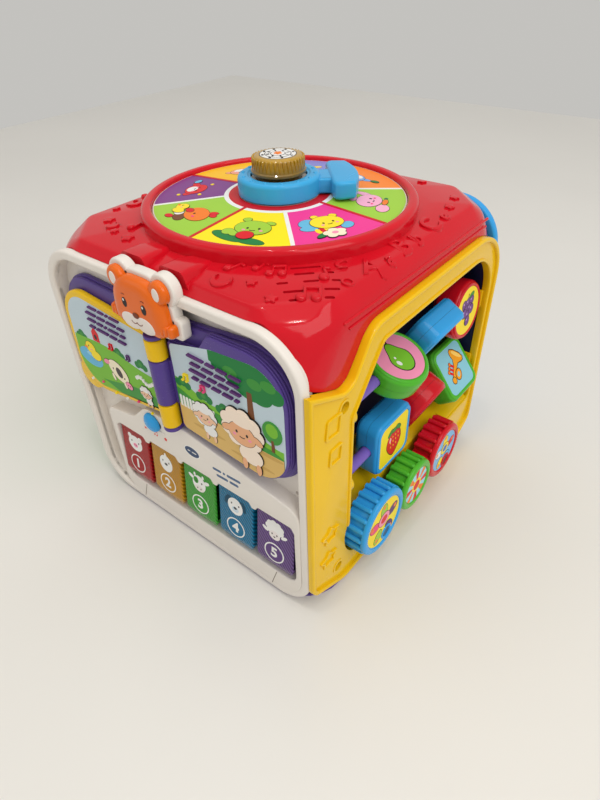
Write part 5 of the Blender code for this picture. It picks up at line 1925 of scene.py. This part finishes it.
def make_dial_lines():
    """The red and white rays between the sectors and the two rings round the hub."""
    white, red = SNOW, ink(206, 24, 34)

    def polar(u, v, h):
        return (v * math.cos(math.radians(u)), v * math.sin(math.radians(u)), dial_height(v) + 0.05 + h)

    rings = Picture(polar, 0.02)
    for low, high, colour in ((30, CROWN_RADIUS, red), (CROWN_RADIUS, 38, red), (38, 41.5, white)):
        for k in range(72):
            rings.tile([(5 * k, low), (5 * k + 5, low), (5 * k + 5, high), (5 * k, high)], colour)
            rings.height -= rings.step
    rings.height += 0.02

    def flat(u, v, h):
        return (u, v, dial_height(math.hypot(u, v)) + 0.05 + h)

    rays = Picture(flat, 0.02)
    rays.height = 0.05
    for k in range(8):
        angle = math.radians(-135 + 45 * k)
        along = Vector((math.cos(angle), math.sin(angle)))
        side = Vector((-along.y, along.x)) * 1.4
        start = 38.4 if k % 2 == 0 else 36
        points = [along * start - side, along * 93.4 - side, along * 93.4 + side, along * start + side]
        rays.tile([tuple(point) for point in points], white if k % 2 == 0 else red)
    rings.finish("dial_rings", BODY, "white_plastic")
    rays.finish("dial_rays", BODY, "white_plastic")


def make_pointer(tree):
    profile = [(21, HUB_BOTTOM), (HUB_RADIUS - 0.8, HUB_BOTTOM), (HUB_RADIUS, HUB_BOTTOM + 0.8)]
    profile += arc(HUB_RADIUS - 3.2, HUB_TOP - 3.2, 3.2, 0, 90, 8) + [(23.4, HUB_TOP), (22.4, HUB_TOP - 0.8), (21, HUB_TOP - 0.8)]
    turn = Matrix.Rotation(ARM_ANGLE, 2)
    neck = ((20, -11, 0), (48, -13, 1), (48, 13, 1), (20, 11, 0))
    head = [(37, -23), (38.5, -26.5), (42, -28)] + arc(-6, 0, 64.5, -24, 24, 24) + [(42, 28), (38.5, 26.5), (37, 23)]
    shapes = [turned(profile, 120)]
    for outline, top, edge in ((rounded(neck, 4), 281.4, 1.8), (head, 283, 2.6)):
        placed_outline = [tuple(turn @ Vector(point[:2])) for point in outline]
        shapes.append(slab(counterclockwise(placed_outline), HUB_BOTTOM + 0.2, top, "Z", edge, 5))
    material = moulded("pointer_blue_plastic", SKY, 0.22)
    bumps = rib_ring(tree, 14, 26.6, 1.5, 0.6, 0.1, "Z", (0, 0), HUB_TOP - 0.9, material)
    put(together(shapes + [bumps]), "pointer_arm", "pointer", material, ["pointer"], sharp=36)


def amber_plastic():
    """Clear amber, darker low down by painted shade, with bright flecks, as a lamp cap has when it is off."""
    finish = Finish("button_amber_clear")
    place = finish.node("SeparateXYZ", Vector=finish.place())
    z = Value(finish.tree, place.socket.node.outputs[2])
    # Painted shade: the colour darkens towards the seat, low in the cap, and lightens higher up.
    depth = (z - BUTTON_SEAT * MM) / (0.0105)
    cloud = finish.noise(150.0, 3.0)
    mixed = depth * 0.6 + cloud * 0.5
    finish.set(Base_Color=finish.tint(ink(60, 42, 4), ink(190, 146, 18), mixed), Roughness=0.1 + cloud * 0.1)
    finish.set(Normal=finish.relief(cloud, 0.0001), Coat_Weight=0.5, Coat_Roughness=0.04, IOR=1.5)
    return finish.material


def make_light_button(tree):
    material = amber_plastic()
    seat = BUTTON_SEAT
    profile = [(0, 297.2), (14.2, 297.0)] + arc(15.6, 294.2, 2.6, 80, 12, 7)
    profile += [(18.9, 291.5), (19.4, seat + 2.4), (20.3, seat + 1.6), (20.3, seat), (16.8, seat), (16.8, 272.4), (0, 272.4)]
    body = turned(profile, 120)
    ribs = rib_ring(tree, 38, 18.4, 1.0, 8.8, 0.0, "Z", (0, 0), seat + 5.7, material)
    put(together([body, ribs]), "button_cap", "light_button", material, ["light_button"], sharp=34)
    art = Picture(lambda u, v, h: (u, v, 297.02 + h + 0.18 * (1 - math.hypot(u, v) / 14)), 0.03)
    for radius, colour in ((13.6, INK), (13.0, SNOW), (9.8, INK), (9.2, SNOW), (5.6, INK), (5.0, SNOW)):
        art.blob(0, 0, radius, radius, colour, steps=44)
    for k in range(8):
        angle = math.radians(45 * k + 10)
        art.blob(11.4 * math.cos(angle), 11.4 * math.sin(angle), 0.9, 0.9, INK)
        art.stroke([(r * math.cos(angle), r * math.sin(angle)) for r in (6.4, 8.6)], 0.8, INK)
    art.tile(rounded_star(0, 0, 3.6), TANGERINE)
    art.finish("button_sign", "light_button", "white_plastic")


# ---------------------------------------------------------------- pieces that keep their CAD shape


def dress_frame_nodes():
    steel = brushed("bright_steel")
    board = textured("board_green", (0.012, 0.13, 0.035), 0.42, 0.00005, 300.0)
    dressed = {
        "bay_liner": textured("liner_navy", NAVY, 0.5),
        "hub_post": moulded("post_white_plastic", WHITE, 0.4),
        "base_tray": textured("base_purple", PURPLE, 0.42),
        "battery_door": textured("base_purple", PURPLE, 0.42),
        "main_board": board,
        "key_switch_board": board,
        "light_board": board,
        "speaker": textured("speaker_cone", (0.02, 0.02, 0.02), 0.6, 0.0002, 500.0),
    }
    for number in (1, 2):
        dressed[f"battery_{number}"] = brushed("battery_can", (0.12, 0.12, 0.13))
    for number in (1, 2, 3, 4):
        dressed[f"screw_post_{number}"] = moulded("post_red_plastic", RED, 0.4)
    for name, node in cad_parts.items():
        material = dressed.get(name, steel)
        node.data.materials.clear()
        node.data.materials.append(material)


# ---------------------------------------------------------------- floor, lights and camera


def make_floor():
    finish = Finish("pale_floor")
    cloud = finish.noise(2.2, 4.0)
    specks = finish.noise(900.0, 2.0)
    finish.set(Base_Color=finish.tint((0.74, 0.72, 0.68), (0.82, 0.80, 0.76), cloud))
    finish.set(Roughness=0.30 + cloud * 0.1 + specks * 0.05, Coat_Weight=0.15, Coat_Roughness=0.25)
    floor = block((-1600, -1600, -12), (1600, 1600, 0))
    floor.name = "floor"
    floor.data.materials.append(finish.material)


def add_light(name, place, target, size, power, colour, shape="RECTANGLE"):
    light = bpy.data.lights.new(name, "AREA")
    light.shape = shape
    light.size = size[0]
    light.size_y = size[1]
    light.energy = power
    light.color = colour
    lamp = bpy.data.objects.new(name, light)
    bpy.context.scene.collection.objects.link(lamp)
    lamp.location = place
    lamp.rotation_euler = (Vector(target) - Vector(place)).to_track_quat("-Z", "Y").to_euler()


def make_lights():
    middle = (0.0, 0.0, 0.14)
    add_light("window", (1.5, -0.3, 1.7), middle, (1.5, 1.5), 20, (1.0, 0.99, 0.97))
    add_light("ceiling", (-0.3, 0.1, 2.2), middle, (2.2, 2.2), 9, (1.0, 0.97, 0.93))
    add_light("room", (-1.2, -1.8, 1.1), middle, (1.6, 1.2), 3, (1.0, 0.93, 0.84))
    for number, x in enumerate((0.05, 0.55), 1):
        add_light(f"bulb_{number}", (x, -0.35, 2.0), middle, (0.09, 0.09), 1.8, (1.0, 0.97, 0.92), "DISK")
    world = bpy.data.worlds.new("room")
    world.use_nodes = True
    background = world.node_tree.nodes["Background"]
    background.inputs["Color"].default_value = (0.61, 0.60, 0.575, 1.0)
    background.inputs["Strength"].default_value = 0.9
    bpy.context.scene.world = world
    bpy.context.scene.view_settings.view_transform = "Standard"


def make_camera():
    """A wide lens above the cube's front right edge, looking down at it."""
    yaw, pitch, roll = (math.radians(angle) for angle in (39.40, 38.57, -1.90))
    ahead = Vector((-math.sin(yaw) * math.cos(pitch), math.cos(yaw) * math.cos(pitch), -math.sin(pitch)))
    right = ahead.cross(Vector((0, 0, 1))).normalized()
    up = right.cross(ahead)
    tilted_right = right * math.cos(roll) + up * math.sin(roll)
    tilted_up = up * math.cos(roll) - right * math.sin(roll)
    data = bpy.data.cameras.new("camera")
    data.sensor_width = 36
    data.sensor_fit = "AUTO"
    data.lens = 36 * 570.5 / 800
    camera = bpy.data.objects.new("camera", data)
    bpy.context.scene.collection.objects.link(camera)
    turn = Matrix((tilted_right, tilted_up, -ahead)).transposed().to_4x4()
    turn.translation = Vector((280.7, -326.0, 413.5)) * MM
    camera.matrix_world = turn
    bpy.context.scene.camera = camera


dress_frame_nodes()
ribs = rib_tree()
make_top_cap()
make_cap_relief()
make_front_tray()
make_tray_seams()
make_emblem()
make_bear()
make_book_pads()
make_yellow_page()
make_purple_page()
make_left_picture()
make_right_picture()
for key_number in range(1, 6):
    make_key(key_number)
make_mode_switch()
make_right_panel()
make_left_panel()
make_back_panel()
for block_name in BLOCKS:
    make_block(block_name)
make_bay_shadow_pieces()
make_gears(ribs)
make_dial()
make_dial_picture()
make_dial_lines()
make_pointer(ribs)
make_light_button(ribs)
make_floor()
make_lights()
make_camera()
